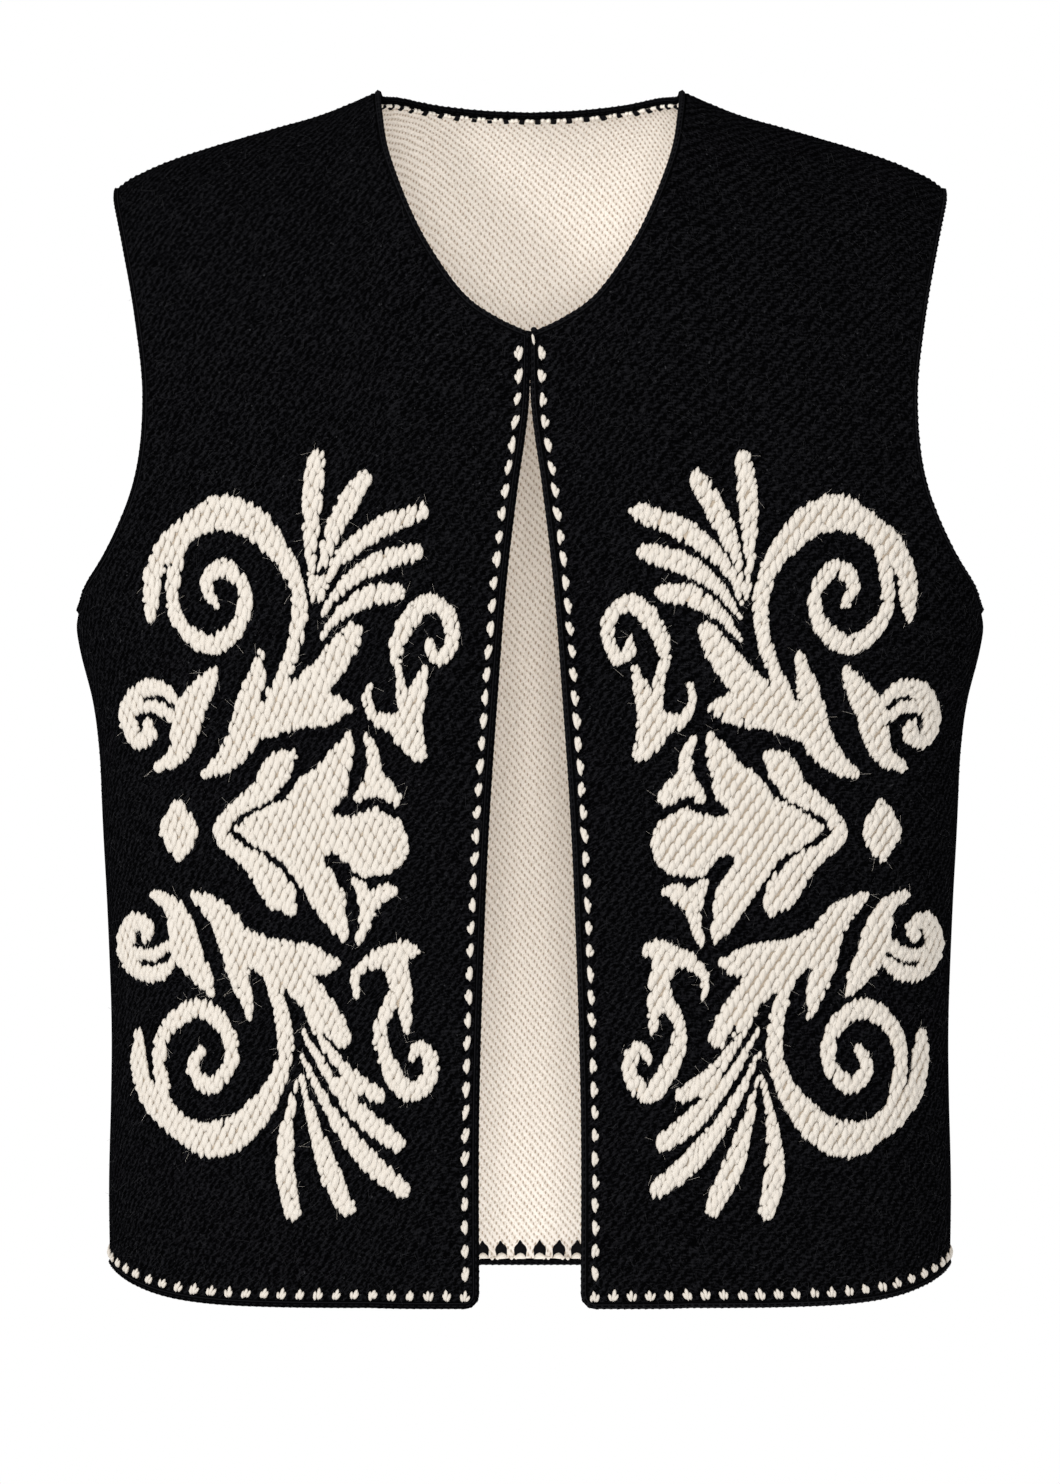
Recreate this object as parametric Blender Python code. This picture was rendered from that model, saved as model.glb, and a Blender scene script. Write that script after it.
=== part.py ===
"""Sleeveless open-front embroidered vest of thick double-faced wool, worn on an absent figure.

Metres, +Z up. The origin is midway between the two shoulder neck points, where the
wearer's shoulders carry the vest. The fronts face -Y and the wearer's left is +X.
"""
import math

import bpy
import numpy as np
from mathutils import Vector
from mathutils.geometry import delaunay_2d_cdt

# Driving dimensions, in metres
CLOTH = 0.0028            # thickness of the double-faced wool
SEAM_GAP = 0.0003         # clearance kept wherever two pieces are sewn together
EDGE_WIDTH = 0.0034       # crocheted edging, measured in the plane of the cloth
EDGE_THICK = 0.0040       # the same edging, measured through the cloth
RELIEF = 0.0014           # how far the wool embroidery stands above the ground
RELIEF_SHOULDER = 0.0022  # distance over which the embroidery rises from its outline

FRONT_DEPTH = 0.098       # how far the fronts stand forward of the side seams
BACK_DEPTH = 0.104        # how far the back stands behind the side seams
FRONT_ROUND = 0.160       # height over which a front bends over the shoulder
BACK_ROUND = 0.120        # height over which the back bends over the shoulder
SECTION_POWER = 3.0       # squareness of the body's section (2 is an ellipse)
REFERENCE_WIDTH = 0.215   # half width at which distances round the body are true

FRONT_HEM = -0.608        # lowest line of the fronts
BACK_HEM = -0.604         # lowest line of the back
SIDE_HEM = -0.592         # height of the hem at the side seams
FRONT_TOP = -0.110        # height, above the neckline, that the front edge is drawn from
HEM_POWER = 10            # how late the hem turns up towards the side seam
CORNER_RADIUS = 0.005     # rounded lower corner of each front
BACK_NECK_RISE = 0.012    # how far the shoulder line would rise behind the neck
MOTIF_HEIGHT = -0.374     # height of the middle of the embroidery
MM = 0.001

OUTLINE_STEP = 0.0140     # spacing of points along the panels' outlines
FRONT_STEP = 0.0175       # spacing of points over the plain ground of the fronts
BACK_STEP = 0.0205        # spacing of points over the plain back
LINING_STEP = 0.030       # spacing of points over the plain inside
EDGE_MARGIN = 0.45        # share of that spacing kept clear of a panel's outline
CLEAR_OF_MOTIF = 0.0050   # no ground point stands nearer than this to the embroidery
STROKE_STEP = 0.0060      # longest step along an embroidered stroke
NARROW_STROKE = 4.0       # millimetres of full height below which a stroke has one inner row
CAP_REACH = 0.8           # how far a stroke's blunt end stands out, as a share of half its width
CAP_WIDTH = 0.55          # width of that end, as a share of the stroke's width
EDGE_SIDES = 6            # facets round the crocheted edging
CORNER_STEP = 0.0012      # nearest that two points of the front edging may stand
SAME_POINT = 0.0002       # points nearer than this are taken as one
CURVE_STEPS = 24          # fine steps between two rows of a table
LINE_STEPS = 200          # fine steps along a straight or gently bent line
SECTION_STEPS = 400       # fine steps round the body's section

# Half width of the body (columns: height, half width)
BODY_WIDTH = [(-0.640, 0.2110), (-0.608, 0.2117), (-0.562, 0.2130), (-0.510, 0.2117),
              (-0.460, 0.2117), (-0.410, 0.2135), (-0.359, 0.2166), (-0.334, 0.2180),
              (-0.308, 0.2210), (-0.283, 0.2270), (-0.262, 0.2310), (-0.230, 0.2325),
              (-0.150, 0.2325), (0.020, 0.2325)]
# Fullness over chest, blades, waist and hips (columns: height, share of depth in front, behind)
FULLNESS = [(-0.640, 0.985, 0.965), (-0.560, 0.980, 0.950), (-0.460, 0.960, 0.900),
            (-0.400, 0.955, 0.885), (-0.320, 0.970, 0.915), (-0.230, 1.000, 0.980),
            (-0.150, 1.000, 1.000), (0.020, 1.000, 1.000)]
# Shoulder line (columns: distance from the centre, height)
SHOULDER = [(0.000, 0.0010), (0.0758, 0.0010), (0.086, -0.004), (0.106, -0.012),
            (0.1265, -0.018), (0.147, -0.024), (0.167, -0.030), (0.187, -0.037),
            (0.210, -0.048), (0.240, -0.064)]
# Finished armhole (columns: distance from the centre in front, behind, height)
ARMHOLE = [(0.2120, 0.2120, -0.050), (0.2050, 0.2080, -0.080), (0.1975, 0.2030, -0.120),
           (0.1925, 0.1990, -0.160), (0.1965, 0.2020, -0.200), (0.2110, 0.2140, -0.235),
           (0.2310, 0.2310, -0.262)]
# Finished front neckline (columns: distance from the centre, height)
FRONT_NECK = [(0.0752, 0.0010), (0.0735, -0.014), (0.0696, -0.0357), (0.0580, -0.0675),
              (0.0458, -0.0906), (0.0313, -0.1105), (0.0160, -0.1215), (0.0000, -0.1290)]
# Finished back neckline (columns: distance from the centre, height)
BACK_NECK = [(0.0752, 0.0010), (0.0665, 0.0016), (0.0460, -0.0012), (0.0230, -0.0034),
             (0.0000, -0.0041)]
# Finished front edge (columns: height, distance from the centre)
FRONT_GAP = [(-0.640, 0.0247), (-0.608, 0.0247), (-0.510, 0.0247), (-0.4316, 0.0225),
             (-0.3728, 0.0199), (-0.3042, 0.0152), (-0.2455, 0.0103), (-0.2063, 0.0056),
             (-0.165, 0.0004), (-0.150, 0.0001), (-0.100, 0.0001)]

# The embroidery of the wearer's left front: a scrolling leaf ornament of the old folk
# kind. Every stroke is a row of (millimetres from the vest's centre, millimetres above
# the ornament's middle, width of the stroke).
VOLUTE = [(155, 112, 5), (159, 122, 7), (151, 130, 9), (141, 121, 7), (140, 109, 7.5),
          (146, 98, 9), (158, 92, 10), (171, 101, 8), (176, 114, 6.5), (175, 128, 7),
          (172, 142, 8), (163.5, 152, 13), (151, 157, 18), (137, 152.5, 16.5),
          (125, 140.5, 13), (116, 125.5, 9), (113, 111.5, 8), (114.5, 96, 7.5),
          (119.5, 80, 7), (125, 67, 10)]
TAIL = [(164, 153, 12), (177, 143, 11), (185, 128, 9.5), (186.5, 114, 8), (187, 105, 4)]
ACANTHUS = [
    [(132, 88, 3.5), (134.5, 76.5, 9), (138, 65, 12), (139, 53.5, 16), (143, 43, 15),
     (151, 34, 11), (160, 28.5, 4)],
    [(131, 57, 13), (115, 65, 17), (101, 78, 15), (92, 90, 13.5), (86.5, 98.5, 10)],
    [(136, 50, 12), (118, 58.5, 17), (103, 60, 16), (94, 61.5, 12), (88.5, 61, 4)],
]
SIDE_SPRIG = [
    [(155.5, 80.5, 4), (160, 72, 11), (167, 61.5, 15), (170, 50, 14), (174, 38.5, 10),
     (184, 31.5, 5)],
    [(175, 65, 5), (182, 70.5, 8), (191, 70.5, 9), (198, 63, 9.5), (199, 53.5, 9),
     (194, 45, 9), (188, 48.5, 8), (189, 54.5, 4)],
    [(195, 61, 6), (185.5, 62, 6), (176.5, 57, 7)],
]
INNER_SPRIG_UPPER = [
    [(49.5, 95, 3.5), (48.5, 88.5, 6), (43, 85, 7), (38, 95, 7), (40.5, 107, 8),
     (49, 112.5, 9), (58, 106, 10), (64.5, 94, 8), (66, 84.5, 5.5), (63.5, 75, 5),
     (61.5, 64, 8)],
    [(51.5, 80, 4), (55, 69, 9), (59, 58, 14), (60, 49, 16), (57, 42.5, 12), (54.5, 38, 8)],
    [(62, 53, 12), (74, 55, 7.5), (80, 64.5, 4.5), (78.5, 72.5, 3)],
]
INNER_SPRIG_LOWER = [
    [(57, -58.5, 6), (61.5, -57.5, 10), (68.5, -61.5, 13), (77.5, -63, 8), (85.5, -70.5, 5),
     (85, -81.5, 3)],
    [(66, -62, 12), (63.5, -75.5, 11), (61.5, -88, 8), (60.5, -97, 4)],
    [(66.5, -80, 7), (73, -95, 6.5), (72, -107, 8), (65, -122.5, 10), (57.5, -128, 10),
     (50, -121, 8), (49, -111.5, 8), (54.5, -105.5, 6.5), (58.5, -112, 3.5)],
]
BLOSSOM = [
    [(144, 1.5, 3), (138, 1.2, 12.5), (130.5, 1, 21.5), (120.5, 0.8, 31), (107, 0, 30)],
    [(113, 8, 19), (107, 16.9, 22), (99.5, 24, 21.5), (96.5, 30.2, 16), (92.2, 38.3, 12),
     (89, 45.2, 6), (88.8, 49, 3)],
    [(113.5, -9, 20), (108.2, -18.5, 18), (102.7, -26.6, 17.5), (98.9, -33.5, 17),
     (94.9, -43.9, 11.5), (91.5, -50.9, 6.5), (90.8, -54, 3)],
    [(105, -0.5, 20), (95.5, -1.2, 18.5), (87.5, -3, 25), (80, -5, 35.5), (73.5, -6.3, 32)],
    [(117, 38, 6), (121, 34.5, 13), (125.5, 29, 15), (131.6, 20, 12.5), (141.7, 13.4, 8.5),
     (148.4, 7.6, 7.5), (151.7, 0, 8.5), (148.6, -5.8, 9), (142.9, -10.4, 9), (134.8, -15.6, 12.5),
     (127, -24.9, 16.5), (121.5, -33, 15.5), (118.5, -37, 9)],
    [(80, 46.5, 4), (77, 38, 6.5), (76.5, 30, 8), (77.5, 22, 12)],
    [(77, 26, 8), (81, 20, 7.5), (84, 16.5, 5)],
    [(76, 28, 8), (71.5, 21.5, 11), (66, 16, 7.5)],
    [(84.3, -54.5, 3.5), (81, -45, 6), (80, -36, 9.5), (82, -29.5, 8.5), (85.5, -24.5, 5)],
    [(80, -36, 8), (75, -32, 9.5), (69, -28.5, 7.5), (66, -29, 3)],
    [(173.2, 13.5, 6), (173.2, 7, 15), (173.2, 0.6, 19.5), (173.2, -6, 15.5), (173.2, -12.5, 6)],
]
# Fans of five leaves (columns: root, middle and tip, each as out and up, then the width)
FAN_UPPER = [((106.4, 112.4), (107.5, 150), (104.3, 184), 10),
             ((104.6, 117.8), (96.7, 146.6), (81.2, 174), 10.5),
             ((103.6, 112.4), (87.7, 139.4), (52.5, 157.5), 10.5),
             ((102.8, 105.1), (84.1, 126.8), (56, 137.2), 10.5),
             ((103.2, 94.3), (85.9, 112.4), (65, 117.6), 10.5)]
FAN_LOWER = [((113.7, -120.2), (120.1, -156.3), (116.5, -187), 10),
             ((112.2, -119.5), (102.1, -156.3), (89.8, -184.5), 11),
             ((112.2, -109.4), (89.5, -149.1), (62.5, -175.3), 11),
             ((112.2, -96.8), (89.5, -131.1), (65, -152.8), 11),
             ((111.1, -87.8), (91.3, -116.6), (74, -129.6), 9.5)]
# How a fan leaf swells (columns: share of its length, share of its width)
LEAF_SWELL = [(0.0, 0.2), (0.25, 0.48), (0.5, 0.84), (0.75, 1.0), (1.0, 0.8)]
# The lower half repeats the upper one upside down, moved a little (columns: out, up)
LOWER_VOLUTE_SHIFT = (7.0, 5.0)
LOWER_ACANTHUS_SHIFT = (6.0, -3.0)
LOWER_SPRIG_SHIFT = (1.5, 0.5)


def smooth_function(rows):
    """A smooth curve through rows of (position, value), as a function of position."""
    at, value = np.array(rows, dtype=float).T
    slope = np.gradient(value, at)

    def curve(x):
        x = np.clip(x, at[0], at[-1])
        i = np.clip(np.searchsorted(at, x) - 1, 0, len(at) - 2)
        span = at[i + 1] - at[i]
        t = (x - at[i]) / span
        return ((2 * t**3 - 3 * t**2 + 1) * value[i] + (t**3 - 2 * t**2 + t) * span * slope[i]
                + (3 * t**2 - 2 * t**3) * value[i + 1] + (t**3 - t**2) * span * slope[i + 1])
    return curve


def smooth_path(rows, steps_of):
    """Points along a smooth curve through rows of any width; steps_of gives each span's steps."""
    rows = np.array(rows, dtype=float)
    padded = np.vstack([2 * rows[0] - rows[1], rows, 2 * rows[-1] - rows[-2]])
    points = []
    for i in range(1, len(rows)):
        p0, p1, p2, p3 = padded[i - 1:i + 3]
        steps = steps_of(math.dist(p1[:2], p2[:2]))
        for k in range(steps):
            t = k / steps
            points.append(0.5 * (2 * p1 + (p2 - p0) * t + (2 * p0 - 5 * p1 + 4 * p2 - p3) * t**2
                                 + (3 * p1 - p0 - 3 * p2 + p3) * t**3))
    points.append(rows[-1])
    return np.array(points)


body_width = smooth_function(BODY_WIDTH)
shoulder = smooth_function(SHOULDER)
front_gap = smooth_function(FRONT_GAP)
front_fullness = smooth_function([(z, front) for z, front, _ in FULLNESS])
back_fullness = smooth_function([(z, behind) for z, _, behind in FULLNESS])


class Shape:
    """The curved surface that one layer of cloth follows, in front of or behind the sides.

    A point of the cloth is given by how far it lies round the body from the centre and by
    its rise, zero at the shoulder line and less below it, both measured along the cloth.
    """

    def __init__(self, facing, depth, rounding, neck_rise, fullness):
        self.facing, self.depth, self.rounding = facing, depth, rounding
        self.neck_rise, self.fullness = neck_rise, fullness
        turn = np.linspace(0, math.pi / 2, SECTION_STEPS)
        self.across = np.sin(turn) ** (2 / SECTION_POWER)
        self.forward = np.cos(turn) ** (2 / SECTION_POWER)
        self.girth = self.length(self.across * REFERENCE_WIDTH, self.forward * depth)
        self.down = rounding * (1 - np.cos(turn))
        self.bulge = np.sin(turn)
        self.drop = self.length(self.down, self.bulge * depth)

    @staticmethod
    def length(x, y):
        return np.concatenate([[0], np.cumsum(np.hypot(np.diff(x), np.diff(y)))])

    def ridge(self, x):
        over_neck = max(0.0, 1 - (x / SHOULDER[1][0]) ** 2)
        return float(shoulder(abs(x))) + self.neck_rise * over_neck

    def to_cloth(self, x, z):
        """Where on the cloth the point seen from the front at x, z lies."""
        below = max(0.0, self.ridge(x) - z)
        drop = (float(np.interp(below, self.down, self.drop)) if below < self.rounding
                else self.drop[-1] + below - self.rounding)
        return float(np.interp(x / body_width(z), self.across, self.girth)), -drop

    def outer(self, around, rise):
        """The point of the outer face at that place on the cloth."""
        drop = -rise
        if drop < self.drop[-1]:
            below = float(np.interp(drop, self.drop, self.down))
            bulge = float(np.interp(drop, self.drop, self.bulge))
        else:
            below, bulge = self.rounding + drop - self.drop[-1], 1.0
        side = math.copysign(1, around)
        ratio = float(np.interp(abs(around), self.girth, self.across))
        forward = float(np.interp(abs(around), self.girth, self.forward))
        z = self.ridge(ratio * REFERENCE_WIDTH) - below
        for _ in range(8):
            x = ratio * float(body_width(z))
            z = self.ridge(x) - below
        y = self.facing * (self.depth * forward * bulge * float(self.fullness(z)) + SEAM_GAP / 2)
        return Vector((side * x, y, z))

    def normal(self, around, rise):
        """The outward direction there, measured over a millimetre each way."""
        last = float(self.girth[-1])
        a0, a1 = max(around - MM, -last), min(around + MM, last)
        along = self.outer(a1, rise) - self.outer(a0, rise)
        upward = self.outer(around, min(rise + MM, 0.0)) - self.outer(around, rise - MM)
        direction = upward.cross(along) * self.facing
        if around > last - MM:
            direction.y = 0
        return direction.normalized()


FRONT = Shape(-1, FRONT_DEPTH, FRONT_ROUND, 0.0, front_fullness)
BACK = Shape(1, BACK_DEPTH, BACK_ROUND, BACK_NECK_RISE, back_fullness)


def even_steps(shape, line, step):
    """Evenly spaced points along a finely drawn line on the cloth."""
    line = np.array(line)
    solid = np.array([shape.outer(*p) for p in line])
    run = np.concatenate([[0], np.cumsum(np.linalg.norm(np.diff(solid, axis=0), axis=1))])
    at = np.linspace(0, run[-1], max(2, round(run[-1] / step) + 1))
    return [(float(np.interp(a, run, line[:, 0])), float(np.interp(a, run, line[:, 1]))) for a in at]


def cut_line(shape, seen):
    """Where the cloth is cut for a finished edge seen from the front.

    The cloth lies to the left of the line, and the cut leaves room for the edging.
    """
    line = np.array([shape.to_cloth(x, z) for x, z in seen])
    along = np.gradient(line, axis=0)
    along /= np.maximum(np.linalg.norm(along, axis=1, keepdims=True), 1e-9)
    return line + (EDGE_WIDTH + SEAM_GAP) * np.stack([-along[:, 1], along[:, 0]], axis=1)


def fine(rows):
    """Closely spaced points through rows of a table."""
    return smooth_path(rows, lambda length: CURVE_STEPS)


def hem_line(shape, lowest):
    """The hem, from the centre, curving up a little towards the side seam."""
    reach = float(body_width(SIDE_HEM))
    seen = [(x, lowest + (SIDE_HEM - lowest) * (x / reach) ** HEM_POWER)
            for x in np.linspace(0, reach, LINE_STEPS)]
    line = cut_line(shape, seen)
    line = line[line[:, 0] < shape.girth[-1] - MM]
    return np.vstack([line, [shape.girth[-1], line[-1, 1]]])


def side_and_arm(shape, hem, armhole):
    """The side seam from the hem up, and the armhole from the underarm to the shoulder line."""
    arm = cut_line(shape, armhole)
    arm = arm[(arm[:, 0] < shape.girth[-1] - MM) & (arm[:, 1] < -MM)]
    arm = np.vstack([[shape.girth[-1], arm[0, 1]], arm, [arm[-1, 0], 0.0]])
    return [tuple(hem[-1]), tuple(arm[0])], arm


def front_outline():
    """Runs of cloth points round the wearer's left front, with the cloth on their left."""
    heights = np.linspace(FRONT_TOP, FRONT_HEM, LINE_STEPS)
    edge = cut_line(FRONT, [(float(front_gap(z)) + SEAM_GAP / 2, z) for z in heights])
    neck = cut_line(FRONT, fine(FRONT_NECK))
    neck = neck[neck[:, 1] < -MM]
    neck = np.vstack([[neck[0, 0], 0.0], neck[neck[:, 0] > edge[0, 0]]])
    neck = np.vstack([neck, [edge[0, 0], neck[-1, 1]]])
    hem = hem_line(FRONT, FRONT_HEM)
    corner_out = edge[-1, 0] + CORNER_RADIUS
    corner = np.array([corner_out, np.interp(corner_out, hem[:, 0], hem[:, 1]) + CORNER_RADIUS])
    rounded = [tuple(corner - CORNER_RADIUS * np.array([math.cos(t), math.sin(t)]))
               for t in np.linspace(0, math.pi / 2, 4)]
    edge = edge[(edge[:, 1] < neck[-1, 1] - MM) & (edge[:, 1] > corner[1] + MM)]
    edge = np.vstack([neck[-1], edge, rounded[0]])
    hem = np.vstack([rounded[-1], hem[hem[:, 0] > corner[0] + MM]])
    side, arm = side_and_arm(FRONT, hem, [(row[0], row[2]) for row in fine(ARMHOLE[::-1])])
    return {
        "edge": even_steps(FRONT, edge, OUTLINE_STEP),
        "corner": rounded,
        "hem": even_steps(FRONT, hem, OUTLINE_STEP),
        "side": even_steps(FRONT, side, OUTLINE_STEP),
        "arm": even_steps(FRONT, arm, OUTLINE_STEP),
        "shoulder": even_steps(FRONT, [arm[-1], neck[0]], OUTLINE_STEP),
        "neck": even_steps(FRONT, neck, OUTLINE_STEP),
    }


def back_outline():
    """Runs of cloth points round the left half of the back, from the centre of its hem."""
    hem = hem_line(BACK, BACK_HEM)
    side, arm = side_and_arm(BACK, hem, [(row[1], row[2]) for row in fine(ARMHOLE[::-1])])
    neck = cut_line(BACK, fine(BACK_NECK))
    neck = neck[neck[:, 1] < -MM]
    neck = np.vstack([[neck[0, 0], 0.0], neck])
    neck[-1, 0] = 0.0
    return {
        "hem": even_steps(BACK, hem, OUTLINE_STEP),
        "side": even_steps(BACK, side, OUTLINE_STEP),
        "arm": even_steps(BACK, arm, OUTLINE_STEP),
        "shoulder": even_steps(BACK, [arm[-1], neck[0]], OUTLINE_STEP),
        "neck": even_steps(BACK, neck, OUTLINE_STEP),
    }


def closed_loop(runs):
    """One loop from runs that share their end points."""
    loop = []
    for run in runs:
        for point in run:
            if not loop or math.dist(point, loop[-1]) > SAME_POINT:
                loop.append(point)
    if math.dist(loop[0], loop[-1]) < SAME_POINT:
        loop.pop()
    return loop


def flipped(strokes, shift):
    """The strokes upside down about the ornament's middle, then moved."""
    return [[(out + shift[0], -up + shift[1], width) for out, up, width in stroke] for stroke in strokes]


def fan_strokes(rows):
    """One bent leaf for each row, through its root, middle and tip."""
    leaves = []
    for root, middle, tip, width in rows:
        root, middle, tip = np.array(root), np.array(middle), np.array(tip)
        pull = 2 * middle - (root + tip) / 2
        leaves.append([(*((1 - t) ** 2 * root + 2 * t * (1 - t) * pull + t**2 * tip), width * share)
                       for t, share in LEAF_SWELL])
    return leaves


def all_strokes():
    upper = [VOLUTE, TAIL]
    return (upper + flipped(upper, LOWER_VOLUTE_SHIFT)
            + ACANTHUS + flipped(ACANTHUS, LOWER_ACANTHUS_SHIFT)
            + SIDE_SPRIG + flipped(SIDE_SPRIG, LOWER_SPRIG_SHIFT)
            + INNER_SPRIG_UPPER + INNER_SPRIG_LOWER + BLOSSOM
            + fan_strokes(FAN_UPPER) + fan_strokes(FAN_LOWER))


def stroke_loop(stroke):
    """Outline and inner points of one embroidered stroke, as seen from the front."""
    path = smooth_path(stroke, lambda length: max(1, round(length * MM / STROKE_STEP)))
    middle, width = path[:, :2], path[:, 2]
    along = np.gradient(middle, axis=0)
    along /= np.linalg.norm(along, axis=1, keepdims=True)
    across = np.stack([-along[:, 1], along[:, 0]], axis=1)
    half = (width / 2)[:, None]

    def cap(i, way):
        return [middle[i] + half[i] * way * (along[i] * CAP_REACH + across[i] * CAP_WIDTH * turn)
                for turn in (1, -1)]

    loop = list(middle + across * half) + cap(-1, 1) + list((middle - across * half)[::-1]) + cap(0, -1)
    inner = []
    for place, side, w in zip(middle, across, width):
        reach = w / 2 - RELIEF_SHOULDER / MM
        wide = 2 * reach > NARROW_STROKE
        inner += [place + side * reach, place - side * reach] if wide else [place]
    return loop, inner


def seen_place(point):
    return point[0] * MM, MOTIF_HEIGHT + point[1] * MM


def counterclockwise(loop):
    loop = np.array(loop)
    ahead = np.roll(loop, -1, axis=0)
    area = (loop[:, 0] * ahead[:, 1] - loop[:, 1] * ahead[:, 0]).sum()
    return loop if area > 0 else loop[::-1]


def inside(point, loop):
    """Whether a point lies in a loop, by counting the crossings to its right."""
    x, y = point
    ahead = np.roll(loop, -1, axis=0)
    spans = (loop[:, 1] > y) != (ahead[:, 1] > y)
    rise = np.where(spans, ahead[:, 1] - loop[:, 1], 1.0)
    reach = (ahead[:, 0] - loop[:, 0]) * (y - loop[:, 1]) / rise + loop[:, 0]
    return bool(np.count_nonzero(spans & (x < reach)) % 2)


def to_segments(points, starts, ends):
    """Distance of each point to the nearest of many segments."""
    along = ends - starts
    length = np.maximum((along**2).sum(axis=1), 1e-12)
    share = ((points[:, None, :] - starts) * along).sum(axis=2) / length
    nearest = starts + np.clip(share, 0, 1)[..., None] * along
    return np.linalg.norm(points[:, None, :] - nearest, axis=2).min(axis=1)


def grid_inside(loop, step):
    """Staggered grid points inside a loop, clear of its edge."""
    loop = np.array(loop)
    low, high = loop.min(axis=0), loop.max(axis=0)
    ahead = np.roll(loop, -1, axis=0)
    points = []
    for row, y in enumerate(np.arange(low[1] + step / 2, high[1], step * 0.88)):
        for x in np.arange(low[0] + step / 2 + (row % 2) * step / 2, high[0], step):
            if inside((x, y), loop):
                points.append((x, y))
    points = np.array(points)
    return points[to_segments(points, loop, ahead) > step * EDGE_MARGIN]


def triangles_of(points, faces):
    """Triangles that fill the first face, with the numbers of the other faces they lie in."""
    found = delaunay_2d_cdt([Vector(p) for p in points], [], faces, 0, 1e-7)
    places, _, cells, _, _, owners = found
    kept = [(cell, [o for o in owner if o > 0]) for cell, owner in zip(cells, owners) if 0 in owner]
    return [tuple(p) for p in places], kept


def panel_mesh(name, shape, loop, strokes, side, step):
    """A closed wall of cloth: outer face with its raised embroidery, plain inner face, edge."""
    count = len(loop)
    outlines, inner_points = [], []
    for stroke in strokes:
        seen, inner = stroke_loop(stroke)
        outlines.append(counterclockwise([shape.to_cloth(*seen_place(p)) for p in seen]))
        inner_points += [shape.to_cloth(*seen_place(p)) for p in inner]
    ground = grid_inside(loop, step)
    if outlines:
        edge_points = np.vstack(outlines)
        clear = np.linalg.norm(ground[:, None, :] - edge_points, axis=2).min(axis=1) > CLEAR_OF_MOTIF
        covered = np.array([any(inside(p, o) for o in outlines) for p in ground])
        ground = ground[clear & ~covered]
    points, faces = list(loop), [list(range(count))]
    for outline in outlines:
        faces.append(list(range(len(points), len(points) + len(outline))))
        points += [tuple(p) for p in outline]
    points += [tuple(p) for p in ground] + [tuple(p) for p in inner_points]
    places, cells = triangles_of(points, faces)

    raised = np.zeros(len(places))
    if outlines:
        uses = {}
        for cell, owner in cells:
            if owner:
                for a, b in zip(cell, cell[1:] + cell[:1]):
                    uses[tuple(sorted((a, b)))] = uses.get(tuple(sorted((a, b))), 0) + 1
        rim = np.array([edge for edge, n in uses.items() if n == 1])
        flat = np.array(places)
        in_motif = sorted({v for cell, owner in cells if owner for v in cell} - set(rim.ravel()))
        deep = to_segments(flat[in_motif], flat[rim[:, 0]], flat[rim[:, 1]])
        raised[in_motif] = RELIEF * np.minimum(deep / RELIEF_SHOULDER, 1.0) ** 0.5

    vertices = [shape.outer(*p) + shape.normal(*p) * h for p, h in zip(places, raised)]
    rows = [(tuple(cell), 1 if owner else 0) for cell, owner in cells]

    lining_points = list(loop) + [tuple(p) for p in grid_inside(loop, LINING_STEP)]
    lining_places, lining = triangles_of(lining_points, [list(range(count))])
    start = len(vertices)
    vertices += [shape.outer(*p) - shape.normal(*p) * CLOTH for p in lining_places]
    rows += [(tuple(start + v for v in reversed(cell)), 2) for cell, _ in lining]
    for i in range(count):
        j = (i + 1) % count
        rows += [((j, i, start + i), 0), ((j, start + i, start + j), 0)]
    if side * shape.facing > 0:
        rows = [(tuple(reversed(cell)), slot) for cell, slot in rows]
    mesh = bpy.data.meshes.new(name)
    mesh.from_pydata([(side * v.x, v.y, v.z) for v in vertices], [], [cell for cell, _ in rows])
    mesh.polygons.foreach_set("material_index", [slot for _, slot in rows])
    used = {v for cell, _ in rows for v in cell}
    if len(used) < len(vertices):
        raise ValueError(name + " has points that no face uses")
    return mesh


def finish(name, mesh, materials):
    """Face the mesh outwards, give it its colours and put it in the scene."""
    mesh.update()
    mesh.shade_smooth()
    mesh.set_sharp_from_angle(angle=math.radians(40))
    for material in materials:
        mesh.materials.append(material)
    thing = bpy.data.objects.new(name, mesh)
    bpy.context.scene.collection.objects.link(thing)
    return thing


def edge_path(shape, run, side):
    """Middle points of the wall along a run, with the cloth's outward direction at each."""
    rows = []
    for around, rise in run:
        place, normal = shape.outer(around, rise), shape.normal(around, rise)
        place = place - normal * CLOTH / 2
        rows.append((Vector((side * place.x, place.y, place.z)),
                     Vector((side * normal.x, normal.y, normal.z))))
    return rows


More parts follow.
